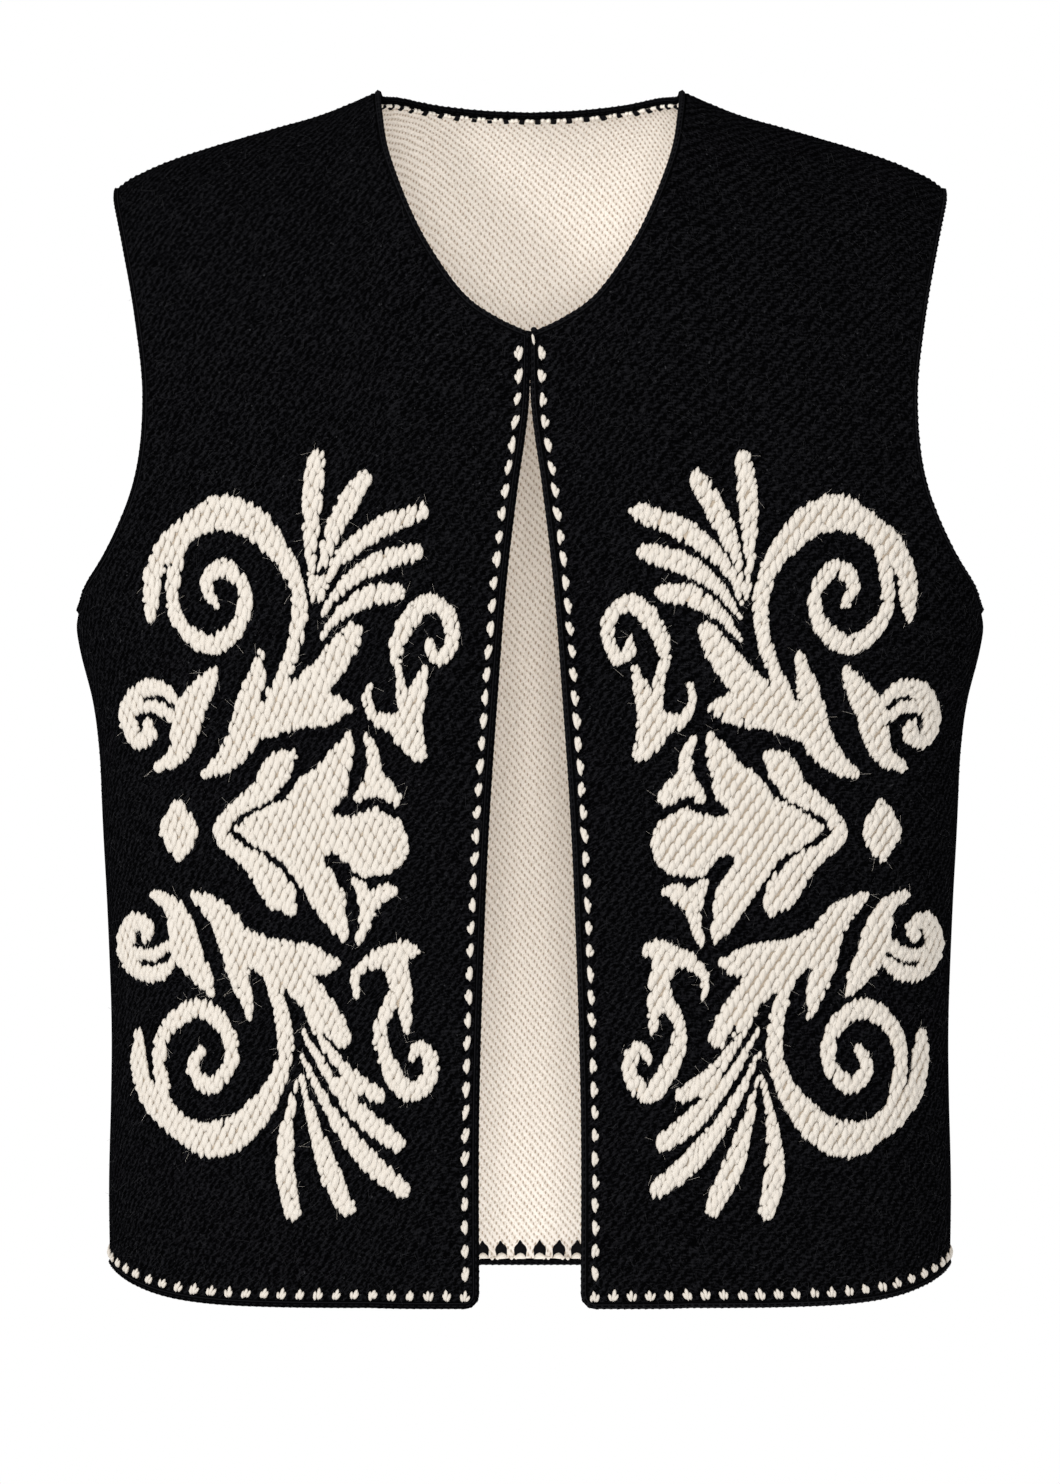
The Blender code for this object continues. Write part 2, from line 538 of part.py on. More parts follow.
def edging_mesh(name, rows, away, closed):
    """A rounded edging that follows a panel's edge, just outside it.

    away is +1 or -1, whichever side of the path's direction is away from the cloth.
    """
    count = len(rows)
    vertices = []
    reach = SEAM_GAP + EDGE_WIDTH / 2
    for i, (place, normal) in enumerate(rows):
        before = rows[i - 1][0] if i or closed else place
        after = rows[(i + 1) % count][0] if i < count - 1 or closed else place
        ahead, behind = (after - place), (place - before)
        along = (after - before).normalized()
        bend = 1.0
        if ahead.length > 0 and behind.length > 0:
            bend = max(0.6, along.dot(ahead.normalized()))
        outward = along.cross(normal).normalized() * away
        normal = outward.cross(along).normalized()
        middle = place + outward * (reach / bend)
        for k in range(EDGE_SIDES):
            turn = 2 * math.pi * (k + 0.5) / EDGE_SIDES
            vertices.append(middle + outward * (math.cos(turn) * EDGE_WIDTH / 2)
                            + normal * (math.sin(turn) * EDGE_THICK / 2))
    faces = []
    for i in range(count if closed else count - 1):
        a, b = i * EDGE_SIDES, ((i + 1) % count) * EDGE_SIDES
        for k in range(EDGE_SIDES):
            n = (k + 1) % EDGE_SIDES
            faces += [(a + k, a + n, b + n), (a + k, b + n, b + k)]
    if not closed:
        last = (count - 1) * EDGE_SIDES
        faces.append(tuple(range(EDGE_SIDES))[::-1])
        faces.append(tuple(last + k for k in range(EDGE_SIDES)))
    mesh = bpy.data.meshes.new(name)
    mesh.from_pydata(vertices, [], faces)
    mesh.update()
    volume = sum(p.center.dot(p.normal) * p.area for p in mesh.polygons)
    if volume < 0:
        mesh.flip_normals()
    return mesh


def wool(name, colour, roughness):
    material = bpy.data.materials.new(name)
    material.use_nodes = True
    shader = material.node_tree.nodes["Principled BSDF"]
    shader.inputs["Base Color"].default_value = (*colour, 1)
    shader.inputs["Roughness"].default_value = roughness
    shader.inputs["Metallic"].default_value = 0
    return material


def tidy_run(rows, spacing):
    """Leaves out path rows that stand closer together than the spacing."""
    kept = [rows[0]]
    for row in rows[1:]:
        if (row[0] - kept[-1][0]).length > spacing:
            kept.append(row)
    return kept


def main():
    for thing in list(bpy.data.objects):
        bpy.data.objects.remove(thing, do_unlink=True)

    def shades(piece):
        return [wool(piece + "_black_wool", (0.004, 0.004, 0.0045), 0.92),
                wool(piece + "_cream_embroidery", (0.79, 0.72, 0.62), 0.88),
                wool(piece + "_cream_reverse", (0.80, 0.73, 0.63), 0.90)]

    front, back = front_outline(), back_outline()
    front_loop = closed_loop(front.values())
    strokes = all_strokes()
    for name, side in (("front_left", 1), ("front_right", -1)):
        finish(name, panel_mesh(name, FRONT, front_loop, strokes, side, FRONT_STEP), shades(name))
    left_half = closed_loop(back.values())
    right_half = [(-a, d) for a, d in left_half[::-1] if a > 1e-6]
    finish("back", panel_mesh("back", BACK, left_half + right_half, [], 1, BACK_STEP), shades("back"))

    margin = OUTLINE_STEP * 0.5
    for name, side in (("left", 1), ("right", -1)):
        black = [wool("edging_" + name + "_black_wool", (0.004, 0.004, 0.0045), 0.9)]
        opening = edge_path(FRONT, front["edge"] + front["corner"] + front["hem"], side)
        opening = tidy_run(opening, CORNER_STEP)
        finish("front_edging_" + name, edging_mesh("front_edging_" + name, opening, side, False), black)
        arm = tidy_run(edge_path(FRONT, front["arm"], side)
                       + edge_path(BACK, back["arm"][::-1], side), margin)
        if (arm[0][0] - arm[-1][0]).length < margin:
            arm.pop()
        finish("armhole_edging_" + name, edging_mesh("armhole_edging_" + name, arm, side, True), black)

    black = [wool("edging_neck_black_wool", (0.004, 0.004, 0.0045), 0.9)]
    neck = tidy_run(edge_path(FRONT, front["neck"][::-1], -1) + edge_path(BACK, back["neck"], -1)
                    + edge_path(BACK, back["neck"][::-1], 1) + edge_path(FRONT, front["neck"], 1), margin)
    finish("neck_edging", edging_mesh("neck_edging", neck, 1, False), black)
    hem = tidy_run(edge_path(BACK, back["hem"][::-1], -1) + edge_path(BACK, back["hem"], 1), margin)
    finish("hem_edging_back", edging_mesh("hem_edging_back", hem, -1, False), black)


main()
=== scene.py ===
import math

import bpy
import numpy as np
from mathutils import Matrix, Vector
from mathutils.geometry import delaunay_2d_cdt


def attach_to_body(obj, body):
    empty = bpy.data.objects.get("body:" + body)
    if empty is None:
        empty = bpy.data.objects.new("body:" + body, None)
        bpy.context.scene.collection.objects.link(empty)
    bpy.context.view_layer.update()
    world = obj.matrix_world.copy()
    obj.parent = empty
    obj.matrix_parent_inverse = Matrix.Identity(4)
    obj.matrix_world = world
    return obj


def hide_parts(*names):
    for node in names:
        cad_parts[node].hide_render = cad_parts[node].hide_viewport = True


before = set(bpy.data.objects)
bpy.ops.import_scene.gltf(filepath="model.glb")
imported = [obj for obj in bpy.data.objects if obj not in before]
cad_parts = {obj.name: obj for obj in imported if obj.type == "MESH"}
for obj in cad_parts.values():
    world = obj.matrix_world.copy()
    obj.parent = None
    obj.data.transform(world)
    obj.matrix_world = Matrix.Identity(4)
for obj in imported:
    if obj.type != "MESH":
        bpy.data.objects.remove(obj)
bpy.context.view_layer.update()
print("frame loaded")
mm = 0.001

# The cut, in metres, the same as the solids'
cut = {
    "cloth": 0.0028,
    "seamGap": 0.0003,
    "edgeWidth": 0.0034,
    "edgeThick": 0.0040,
    "frontDepth": 0.098,
    "backDepth": 0.104,
    "frontRound": 0.160,
    "backRound": 0.120,
    "sectionPower": 3.0,
    "referenceWidth": 0.215,
    "frontHem": -0.608,
    "backHem": -0.604,
    "sideHem": -0.592,
    "cornerRadius": 0.0045,
    "edgeTop": -0.11,          # the front edges are drawn from here down
    "hemPower": 10,            # how late the hem rises to the side
    "backNeckRise": 0.012,
    "motifHeight": -0.374,
    # height, half width
    "bodyWidth": [(-0.640, 0.2110), (-0.608, 0.2117), (-0.562, 0.2130), (-0.510, 0.2117),
                  (-0.460, 0.2117), (-0.410, 0.2135), (-0.359, 0.2166), (-0.334, 0.2180),
                  (-0.308, 0.2210), (-0.283, 0.2270), (-0.262, 0.2310), (-0.230, 0.2325),
                  (-0.150, 0.2325), (0.020, 0.2325)],
    # height, share of depth in front, behind
    "fullness": [(-0.640, 0.985, 0.965), (-0.560, 0.980, 0.950), (-0.460, 0.960, 0.900),
                 (-0.400, 0.955, 0.885), (-0.320, 0.970, 0.915), (-0.230, 1.000, 0.980),
                 (-0.150, 1.000, 1.000), (0.020, 1.000, 1.000)],
    # distance from the centre, height
    "shoulder": [(0.000, 0.0010), (0.0758, 0.0010), (0.086, -0.004), (0.106, -0.012),
                 (0.1265, -0.018), (0.147, -0.024), (0.167, -0.030), (0.187, -0.037),
                 (0.210, -0.048), (0.240, -0.064)],
    # distance from the centre in front, behind, height
    "armhole": [(0.2120, 0.2120, -0.050), (0.2050, 0.2080, -0.080), (0.1975, 0.2030, -0.120),
                (0.1925, 0.1990, -0.160), (0.1965, 0.2020, -0.200), (0.2110, 0.2140, -0.235),
                (0.2310, 0.2310, -0.262)],
    "frontNeck": [(0.0752, 0.0010), (0.0735, -0.014), (0.0696, -0.0357), (0.0580, -0.0675),
                  (0.0458, -0.0906), (0.0313, -0.1105), (0.0160, -0.1215), (0.0000, -0.1290)],
    "backNeck": [(0.0752, 0.0010), (0.0665, 0.0016), (0.0460, -0.0012), (0.0230, -0.0034),
                 (0.0000, -0.0041)],
    # height, distance from the centre
    "frontGap": [(-0.640, 0.0247), (-0.608, 0.0247), (-0.510, 0.0247), (-0.4316, 0.0225),
                 (-0.3728, 0.0199), (-0.3042, 0.0152), (-0.2455, 0.0103), (-0.2063, 0.0056),
                 (-0.165, 0.0004), (-0.150, 0.0001), (-0.100, 0.0001)],
}


# Curves and the body's surface
def smoothFunction(rows):
    at, value = np.array(rows, dtype=float).T
    slope = np.gradient(value, at)

    def curve(x):
        x = np.clip(x, at[0], at[-1])
        i = np.clip(np.searchsorted(at, x) - 1, 0, len(at) - 2)
        span = at[i + 1] - at[i]
        t = (x - at[i]) / span
        return ((2 * t**3 - 3 * t**2 + 1) * value[i] + (t**3 - 2 * t**2 + t) * span * slope[i]
                + (3 * t**2 - 2 * t**3) * value[i + 1] + (t**3 - t**2) * span * slope[i + 1])
    return curve


def smoothPath(rows, stepsOf):
    rows = np.array(rows, dtype=float)
    padded = np.vstack([2 * rows[0] - rows[1], rows, 2 * rows[-1] - rows[-2]])
    points = []
    for i in range(1, len(rows)):
        p0, p1, p2, p3 = padded[i - 1:i + 3]
        steps = stepsOf(math.dist(p1[:2], p2[:2]))
        for k in range(steps):
            t = k / steps
            points.append(0.5 * (2 * p1 + (p2 - p0) * t + (2 * p0 - 5 * p1 + 4 * p2 - p3) * t**2
                                 + (3 * p1 - p0 - 3 * p2 + p3) * t**3))
    points.append(rows[-1])
    return np.array(points)


def fine(rows):
    return smoothPath(rows, lambda length: 24)


def runLengths(points):
    # The distance along a line, at each of its points
    return np.concatenate([[0], np.cumsum(np.linalg.norm(np.diff(points, axis=0), axis=1))])


def pointsAlong(at, run, line):
    return np.stack([np.interp(at, run, column) for column in line.T], axis=1)


def unitVectors(turns):
    return np.stack([np.cos(turns), np.sin(turns)], axis=1)


def leftOf(directions):
    return np.stack([-directions[:, 1], directions[:, 0]], axis=1)


def normalised(vectors):
    return vectors / np.linalg.norm(vectors, axis=1, keepdims=True)


bodyWidth = smoothFunction(cut["bodyWidth"])
shoulderLine = smoothFunction(cut["shoulder"])
frontGap = smoothFunction(cut["frontGap"])


class BodySide:
    # A place on the cloth is (distance round from the centre, rise below the shoulder line)
    def __init__(self, facing, depth, rounding, neckRise, fullness):
        self.facing, self.depth, self.rounding = facing, depth, rounding
        self.neckRise, self.fullness = neckRise, fullness
        turn = np.linspace(0, math.pi / 2, 400)
        self.across = np.sin(turn) ** (2 / cut["sectionPower"])
        self.forward = np.cos(turn) ** (2 / cut["sectionPower"])
        self.girth = self.length(self.across * cut["referenceWidth"], self.forward * depth)
        self.down = rounding * (1 - np.cos(turn))
        self.bulge = np.sin(turn)
        self.drop = self.length(self.down, self.bulge * depth)

    @staticmethod
    def length(x, y):
        return np.concatenate([[0], np.cumsum(np.hypot(np.diff(x), np.diff(y)))])

    def ridge(self, x):
        overNeck = np.maximum(0.0, 1 - (x / cut["shoulder"][1][0]) ** 2)
        return shoulderLine(np.abs(x)) + self.neckRise * overNeck

    def toCloth(self, seen):
        x, z = np.array(seen, dtype=float).T
        below = np.maximum(0.0, self.ridge(x) - z)
        drop = np.where(below < self.rounding, np.interp(below, self.down, self.drop),
                        self.drop[-1] + below - self.rounding)
        return np.stack([np.interp(x / bodyWidth(z), self.across, self.girth), -drop], axis=1)

    def outer(self, places):
        around, rise = np.array(places, dtype=float).T
        drop = -rise
        below = np.where(drop < self.drop[-1], np.interp(drop, self.drop, self.down),
                         self.rounding + drop - self.drop[-1])
        bulge = np.interp(drop, self.drop, self.bulge)
        ratio = np.interp(np.abs(around), self.girth, self.across)
        forward = np.interp(np.abs(around), self.girth, self.forward)
        x = ratio * cut["referenceWidth"]
        for _ in range(8):
            z = self.ridge(x) - below
            x = ratio * bodyWidth(z)
        y = self.facing * (self.depth * forward * bulge * self.fullness(z) + cut["seamGap"] / 2)
        return np.stack([np.copysign(x, around), y, z], axis=1)

    def normal(self, places):
        places = np.array(places, dtype=float)
        last, step = self.girth[-1], np.array([mm, mm])
        high = np.minimum(places + step, [last, 0.0])
        low = np.maximum(places - step, [-last, -9.0])
        along = (self.outer(np.stack([high[:, 0], places[:, 1]], axis=1))
                 - self.outer(np.stack([low[:, 0], places[:, 1]], axis=1)))
        upward = (self.outer(np.stack([places[:, 0], high[:, 1]], axis=1))
                  - self.outer(np.stack([places[:, 0], low[:, 1]], axis=1)))
        direction = np.cross(upward, along) * self.facing
        direction[np.abs(places[:, 0]) > last - mm, 1] = 0
        return normalised(direction)


front = BodySide(-1, cut["frontDepth"], cut["frontRound"], 0.0,
                 smoothFunction([(z, share) for z, share, _ in cut["fullness"]]))
back = BodySide(1, cut["backDepth"], cut["backRound"], cut["backNeckRise"],
                smoothFunction([(z, share) for z, _, share in cut["fullness"]]))


# Outlines of the cut pieces
def evenSteps(shape, line, step):
    line = np.array(line)
    run = runLengths(shape.outer(line))
    at = np.linspace(0, run[-1], max(2, round(run[-1] / step) + 1))
    return pointsAlong(at, run, line)


def evenRuns(shape, lines, step):
    return {name: line if name == "corner" else evenSteps(shape, line, step)
            for name, line in lines.items()}


def insetLine(shape, seen, inset):
    # The line moved into the cloth, which lies to its left
    line = shape.toCloth(seen)
    along = np.gradient(line, axis=0)
    along /= np.maximum(np.linalg.norm(along, axis=1, keepdims=True), 1e-9)
    return line + inset * leftOf(along)


def seenHem(lowest):
    reach = float(bodyWidth(cut["sideHem"]))
    return [(x, lowest + (cut["sideHem"] - lowest) * (x / reach) ** cut["hemPower"])
            for x in np.linspace(0, reach, 240)]


def hemLine(shape, lowest, inset):
    line = insetLine(shape, seenHem(lowest), inset)
    line = line[line[:, 0] < shape.girth[-1] - mm]
    return np.vstack([line, [shape.girth[-1], line[-1, 1]]])


def sideAndArm(shape, hem, column, inset):
    # column: where the armhole's table holds the distance for this shape
    arm = insetLine(shape, fine(cut["armhole"][::-1])[:, [column, 2]], inset)
    arm = arm[(arm[:, 0] < shape.girth[-1] - mm) & (arm[:, 1] < -mm)]
    arm = np.vstack([[shape.girth[-1], arm[0, 1]], arm, [arm[-1, 0], 0.0]])
    return np.array([hem[-1], arm[0]]), arm


def frontOutline(inset, step):
    seenEdge = [(float(frontGap(z)) + cut["seamGap"] / 2, z)
                for z in np.linspace(cut["edgeTop"], cut["frontHem"], 160)]
    edge = insetLine(front, seenEdge, inset)
    neck = insetLine(front, fine(cut["frontNeck"]), inset)
    neck = neck[neck[:, 1] < -mm]
    neck = np.vstack([[neck[0, 0], 0.0], neck[neck[:, 0] > edge[0, 0]]])
    neck = np.vstack([neck, [edge[0, 0], neck[-1, 1]]])
    hem = hemLine(front, cut["frontHem"], inset)
    cornerOut = edge[-1, 0] + cut["cornerRadius"]
    cornerUp = np.interp(cornerOut, hem[:, 0], hem[:, 1]) + cut["cornerRadius"]
    corner = np.array([cornerOut, cornerUp])
    rounded = corner - cut["cornerRadius"] * unitVectors(np.linspace(0, math.pi / 2, 9))
    edge = edge[(edge[:, 1] < neck[-1, 1] - mm) & (edge[:, 1] > corner[1] + mm)]
    edge = np.vstack([neck[-1], edge, rounded[0]])
    hem = np.vstack([rounded[-1], hem[hem[:, 0] > corner[0] + mm]])
    side, arm = sideAndArm(front, hem, 0, inset)
    return evenRuns(front, {"edge": edge, "corner": rounded, "hem": hem, "side": side, "arm": arm,
                            "shoulder": [arm[-1], neck[0]], "neck": neck}, step)


def backOutline(inset, step):
    hem = hemLine(back, cut["backHem"], inset)
    side, arm = sideAndArm(back, hem, 1, inset)
    neck = insetLine(back, fine(cut["backNeck"]), inset)
    neck = neck[neck[:, 1] < -mm]
    neck = np.vstack([[neck[0, 0], 0.0], neck])
    neck[-1, 0] = 0.0
    return evenRuns(back, {"hem": hem, "side": side, "arm": arm,
                           "shoulder": [arm[-1], neck[0]], "neck": neck}, step)


def closedLoop(runs):
    samePoint = 0.2 * mm
    loop = []
    for run in runs:
        for point in run:
            if not loop or math.dist(point, loop[-1]) > samePoint:
                loop.append(tuple(point))
    if math.dist(loop[0], loop[-1]) < samePoint:
        loop.pop()
    return np.array(loop)


# The ornament. Its strokes were read off the photo. Each point
# is (mm from the vest's centre, mm above the ornament's middle, width)
ornament = {
    "volute": [
        [(155, 112, 5), (159, 122, 7), (151, 130, 9), (141, 121, 7), (140, 109, 7.5),
         (146, 98, 9), (158, 92, 10), (171, 101, 8), (176, 114, 6.5), (175, 128, 7),
         (172, 142, 8), (163.5, 152, 13), (151, 157, 18), (137, 152.5, 16.5),
         (125, 140.5, 13), (116, 125.5, 9), (113, 111.5, 8), (114.5, 96, 7.5),
         (119.5, 80, 7), (125, 67, 10)],
        [(164, 153, 12), (177, 143, 11), (185, 128, 9.5), (186.5, 114, 8), (187, 105, 4)],
    ],
    "acanthus": [
        [(132, 88, 3.5), (134.5, 76.5, 9), (138, 65, 12), (139, 53.5, 16), (143, 43, 15),
         (151, 34, 11), (160, 28.5, 4)],
        [(131, 57, 13), (115, 65, 17), (101, 78, 15), (92, 90, 13.5), (86.5, 98.5, 10)],
        [(136, 50, 12), (118, 58.5, 17), (103, 60, 16), (94, 61.5, 12), (88.5, 61, 4)],
    ],
    "sideSprig": [
        [(155.5, 80.5, 4), (160, 72, 11), (167, 61.5, 15), (170, 50, 14), (174, 38.5, 10),
         (184, 31.5, 5)],
        [(175, 65, 5), (182, 70.5, 8), (191, 70.5, 9), (198, 63, 9.5), (199, 53.5, 9),
         (194, 45, 9), (188, 48.5, 8), (189, 54.5, 4)],
        [(195, 61, 6), (185.5, 62, 6), (176.5, 57, 7)],
    ],
    "innerSprigs": [
        [(49.5, 95, 3.5), (48.5, 88.5, 6), (43, 85, 7), (38, 95, 7), (40.5, 107, 8),
         (49, 112.5, 9), (58, 106, 10), (64.5, 94, 8), (66, 84.5, 5.5), (63.5, 75, 5),
         (61.5, 64, 8)],
        [(51.5, 80, 4), (55, 69, 9), (59, 58, 14), (60, 49, 16), (57, 42.5, 12), (54.5, 38, 8)],
        [(62, 53, 12), (74, 55, 7.5), (80, 64.5, 4.5), (78.5, 72.5, 3)],
        [(57, -58.5, 6), (61.5, -57.5, 10), (68.5, -61.5, 13), (77.5, -63, 8), (85.5, -70.5, 5),
         (85, -81.5, 3)],
        [(66, -62, 12), (63.5, -75.5, 11), (61.5, -88, 8), (60.5, -97, 4)],
        [(66.5, -80, 7), (73, -95, 6.5), (72, -107, 8), (65, -122.5, 10), (57.5, -128, 10),
         (50, -121, 8), (49, -111.5, 8), (54.5, -105.5, 6.5), (58.5, -112, 3.5)],
    ],
    "blossom": [
        [(144, 1.5, 3), (138, 1.2, 12.5), (130.5, 1, 21.5), (120.5, 0.8, 31), (107, 0, 30)],
        [(113, 8, 19), (107, 16.9, 22), (99.5, 24, 21.5), (96.5, 30.2, 16), (92.2, 38.3, 12),
         (89, 45.2, 6), (88.8, 49, 3)],
        [(113.5, -9, 20), (108.2, -18.5, 18), (102.7, -26.6, 17.5), (98.9, -33.5, 17),
         (94.9, -43.9, 11.5), (91.5, -50.9, 6.5), (90.8, -54, 3)],
        [(105, -0.5, 20), (95.5, -1.2, 18.5), (87.5, -3, 25), (80, -5, 35.5), (73.5, -6.3, 32)],
        [(117, 38, 6), (121, 34.5, 13), (125.5, 29, 15), (131.6, 20, 12.5), (141.7, 13.4, 8.5),
         (148.4, 7.6, 7.5), (151.7, 0, 8.5), (148.6, -5.8, 9), (142.9, -10.4, 9),
         (134.8, -15.6, 12.5), (127, -24.9, 16.5), (121.5, -33, 15.5), (118.5, -37, 9)],
        [(80, 46.5, 4), (77, 38, 6.5), (76.5, 30, 8), (77.5, 22, 12)],
        [(77, 26, 8), (81, 20, 7.5), (84, 16.5, 5)],
        [(76, 28, 8), (71.5, 21.5, 11), (66, 16, 7.5)],
        [(84.3, -54.5, 3.5), (81, -45, 6), (80, -36, 9.5), (82, -29.5, 8.5), (85.5, -24.5, 5)],
        [(80, -36, 8), (75, -32, 9.5), (69, -28.5, 7.5), (66, -29, 3)],
        [(173.2, 13.5, 6), (173.2, 7, 15), (173.2, 0.6, 19.5), (173.2, -6, 15.5), (173.2, -12.5, 6)],
    ],
    # root, middle and tip of each leaf, then its width
    "fans": [
        ((106.4, 112.4), (107.5, 150), (104.3, 184), 10),
        ((104.6, 117.8), (96.7, 146.6), (81.2, 174), 10.5),
        ((103.6, 112.4), (87.7, 139.4), (52.5, 157.5), 10.5),
        ((102.8, 105.1), (84.1, 126.8), (56, 137.2), 10.5),
        ((103.2, 94.3), (85.9, 112.4), (65, 117.6), 10.5),
        ((113.7, -120.2), (120.1, -156.3), (116.5, -187), 10),
        ((112.2, -119.5), (102.1, -156.3), (89.8, -184.5), 11),
        ((112.2, -109.4), (89.5, -149.1), (62.5, -175.3), 11),
        ((112.2, -96.8), (89.5, -131.1), (65, -152.8), 11),
        ((111.1, -87.8), (91.3, -116.6), (74, -129.6), 9.5),
    ],
    # share of a leaf's length, share of its width
    "leafSwell": [(0.0, 0.2), (0.25, 0.48), (0.5, 0.84), (0.75, 1.0), (1.0, 0.8)],
    # turned over for the lower half, and moved by this
    "lowerShift": {"volute": (7.0, 5.0), "acanthus": (6.0, -3.0), "sideSprig": (1.5, 0.5)},
    "strokeStep": 2.2 * mm,    # between the points of an outline
    "capPoints": 7,
    "capReach": 0.9,           # how round a stroke's ends are
}


def flipped(strokes, shift):
    return [[(out + shift[0], -up + shift[1], width) for out, up, width in stroke]
            for stroke in strokes]


def fanStroke(root, middle, tip, width):
    root, middle, tip = np.array(root), np.array(middle), np.array(tip)
    pull = 2 * middle - (root + tip) / 2
    return [(*((1 - t) ** 2 * root + 2 * t * (1 - t) * pull + t**2 * tip), width * share)
            for t, share in ornament["leafSwell"]]


def allStrokes():
    strokes = ornament["innerSprigs"] + ornament["blossom"]
    strokes += [fanStroke(*leaf) for leaf in ornament["fans"]]
    for name, shift in ornament["lowerShift"].items():
        strokes += ornament[name] + flipped(ornament[name], shift)
    return strokes


def strokeOutline(stroke):
    path = smoothPath(stroke, lambda length: max(1, round(length * mm / ornament["strokeStep"])))
    middle, half = path[:, :2], path[:, 2:] / 2
    along = normalised(np.gradient(middle, axis=0))
    across = leftOf(along)
    turns = np.linspace(-math.pi / 2, math.pi / 2, ornament["capPoints"])[1:-1]

    def cap(end, way):
        return [middle[end] + way * along[end] * half[end] * ornament["capReach"] * math.cos(t)
                + across[end] * half[end] * math.sin(t) for t in turns[::-way]]

    seen = np.vstack([middle + across * half, cap(-1, 1), (middle - across * half)[::-1], cap(0, -1)])
    return counterclockwise(front.toCloth(seen * mm + [0, cut["motifHeight"]]))


def signedArea(loop):
    ahead = np.roll(loop, -1, axis=0)
    return (loop[:, 0] * ahead[:, 1] - loop[:, 1] * ahead[:, 0]).sum() / 2


def counterclockwise(loop):
    return loop if signedArea(loop) > 0 else loop[::-1]


def insideLoop(points, loop):
    low, high = loop.min(axis=0), loop.max(axis=0)
    result = ((points >= low) & (points <= high)).all(axis=1)
    x, y = points[result].T
    ahead = np.roll(loop, -1, axis=0)
    spans = (loop[:, 1] > y[:, None]) != (ahead[:, 1] > y[:, None])
    rise = np.where(ahead[:, 1] == loop[:, 1], 1.0, ahead[:, 1] - loop[:, 1])
    reach = (ahead[:, 0] - loop[:, 0]) * (y[:, None] - loop[:, 1]) / rise + loop[:, 0]
    result[result] = np.count_nonzero(spans & (x[:, None] < reach), axis=1) % 2 == 1
    return result


def insideAny(points, loops):
    result = np.zeros(len(points), dtype=bool)
    for loop in loops:
        result |= insideLoop(points, loop)
    return result


def nearest(points, starts, ends):
    # Distance of each point to the nearest segment
    along = ends - starts
    length = np.maximum((along**2).sum(axis=1), 1e-14)
    found = []
    for part in np.array_split(points, max(1, len(points) // 400)):
        share = ((part[:, None, :] - starts) * along).sum(axis=2) / length
        place = starts + np.clip(share, 0, 1)[..., None] * along
        found.append(np.linalg.norm(part[:, None, :] - place, axis=2).min(axis=1))
    return np.concatenate(found)


# The cloth panels
panels = {
    "groundStep": 3.4 * mm,
    "groundMargin": 0.45,      # share of a step kept clear along the edge
    "motifMargin": 0.42,       # and along the ornament
    "liningStep": 6.0 * mm,
    "liningMargin": 0.4,
    "outlineStep": 3.2 * mm,
    "rowRise": 0.88,           # of a step, between rows of points
    "bedRise": 0.9 * mm,       # padding under the yarn
    "bedShoulder": 1.6 * mm,
    "wobble": 0.45 * mm,       # unevenness of a hand-made cloth
    "wobbleFade": 0.02,        # from the seams inward
    "sharpAngle": 50,
}


def gridInside(loop, step, margin):
    low, high = loop.min(axis=0), loop.max(axis=0)
    rows = []
    for row, y in enumerate(np.arange(low[1] + step / 2, high[1], step * panels["rowRise"])):
        xs = np.arange(low[0] + step / 2 + (row % 2) * step / 2, high[0], step)
        rows.append(np.stack([xs, np.full(len(xs), y)], axis=1))
    points = np.vstack(rows)
    points = points[insideLoop(points, loop)]
    return points[nearest(points, loop, np.roll(loop, -1, axis=0)) > margin]


def trianglesOf(points, faces):
    found = delaunay_2d_cdt([Vector(p) for p in points], [], faces, 0, 1e-7)
    kept = [(cell, max(owner) > 0) for cell, owner in zip(found[2], found[5]) if 0 in owner]
    return np.array([tuple(p) for p in found[0]]), kept


def wobble(solid):
    x, y, z = solid.T * 1000
    return panels["wobble"] * (np.sin(x / 23 + z / 31) + np.sin(z / 17 - x / 41 + y / 19)
                               + 0.6 * np.sin(x / 9.5 + z / 13.5)) / 2


def clothPoint(shape, places, lift):
    # Points of the outer face, lifted along the face's own direction
    solid = shape.outer(places)
    fromSeam = np.stack([shape.girth[-1] - np.abs(places[:, 0]), -places[:, 1]])
    fade = np.clip(fromSeam / panels["wobbleFade"], 0, 1).prod(axis=0)
    return solid + shape.normal(places) * (wobble(solid) * fade + lift)[:, None]


def mirrored(points, side):
    return points * [side, 1, 1]


# Where the opening is worn close, one front laps over the other
lap = {
    "from": -0.180,
    "full": -0.148,
    "reach": 28 * mm,
    "over": (0.7 * mm, -1.3 * mm),    # towards the middle, and out, of the upper layer
    "under": (0.7 * mm, 0.5 * mm),
}

# Corners that wear softer than the solids': distance from the centre, height, reach, shift
softCorners = [
    (0.2313, -0.2600, 0.009, (-0.0034, -0.0012)),
    (0.2125, -0.0485, 0.007, (-0.0016, -0.0012)),
    (0.0752, 0.0015, 0.006, (0.0, -0.0010)),
]


def placed(points, side):
    # Mirrored to its side, and lapped over or under the other front near the neck
    x, y, z = points.T
    rise = np.clip((z - lap["from"]) / (lap["full"] - lap["from"]), 0, 1)
    share = rise * rise * (3 - 2 * rise) * np.exp(-(x / lap["reach"]) ** 2) * (y < 0)
    inward, outward = lap["over"] if side < 0 else lap["under"]
    x, y = x - inward * share, y + outward * share
    for out, height, reach, (aside, down) in softCorners:
        near = np.exp(-((np.abs(x) - out) ** 2 + (z - height) ** 2) / reach**2)
        x, z = x + np.sign(x) * aside * near, z + down * near
    return np.stack([side * x, y, z], axis=1)


def newMesh(name, vertices, faces):
    mesh = bpy.data.meshes.new(name)
    mesh.from_pydata(vertices, [], faces)
    return mesh


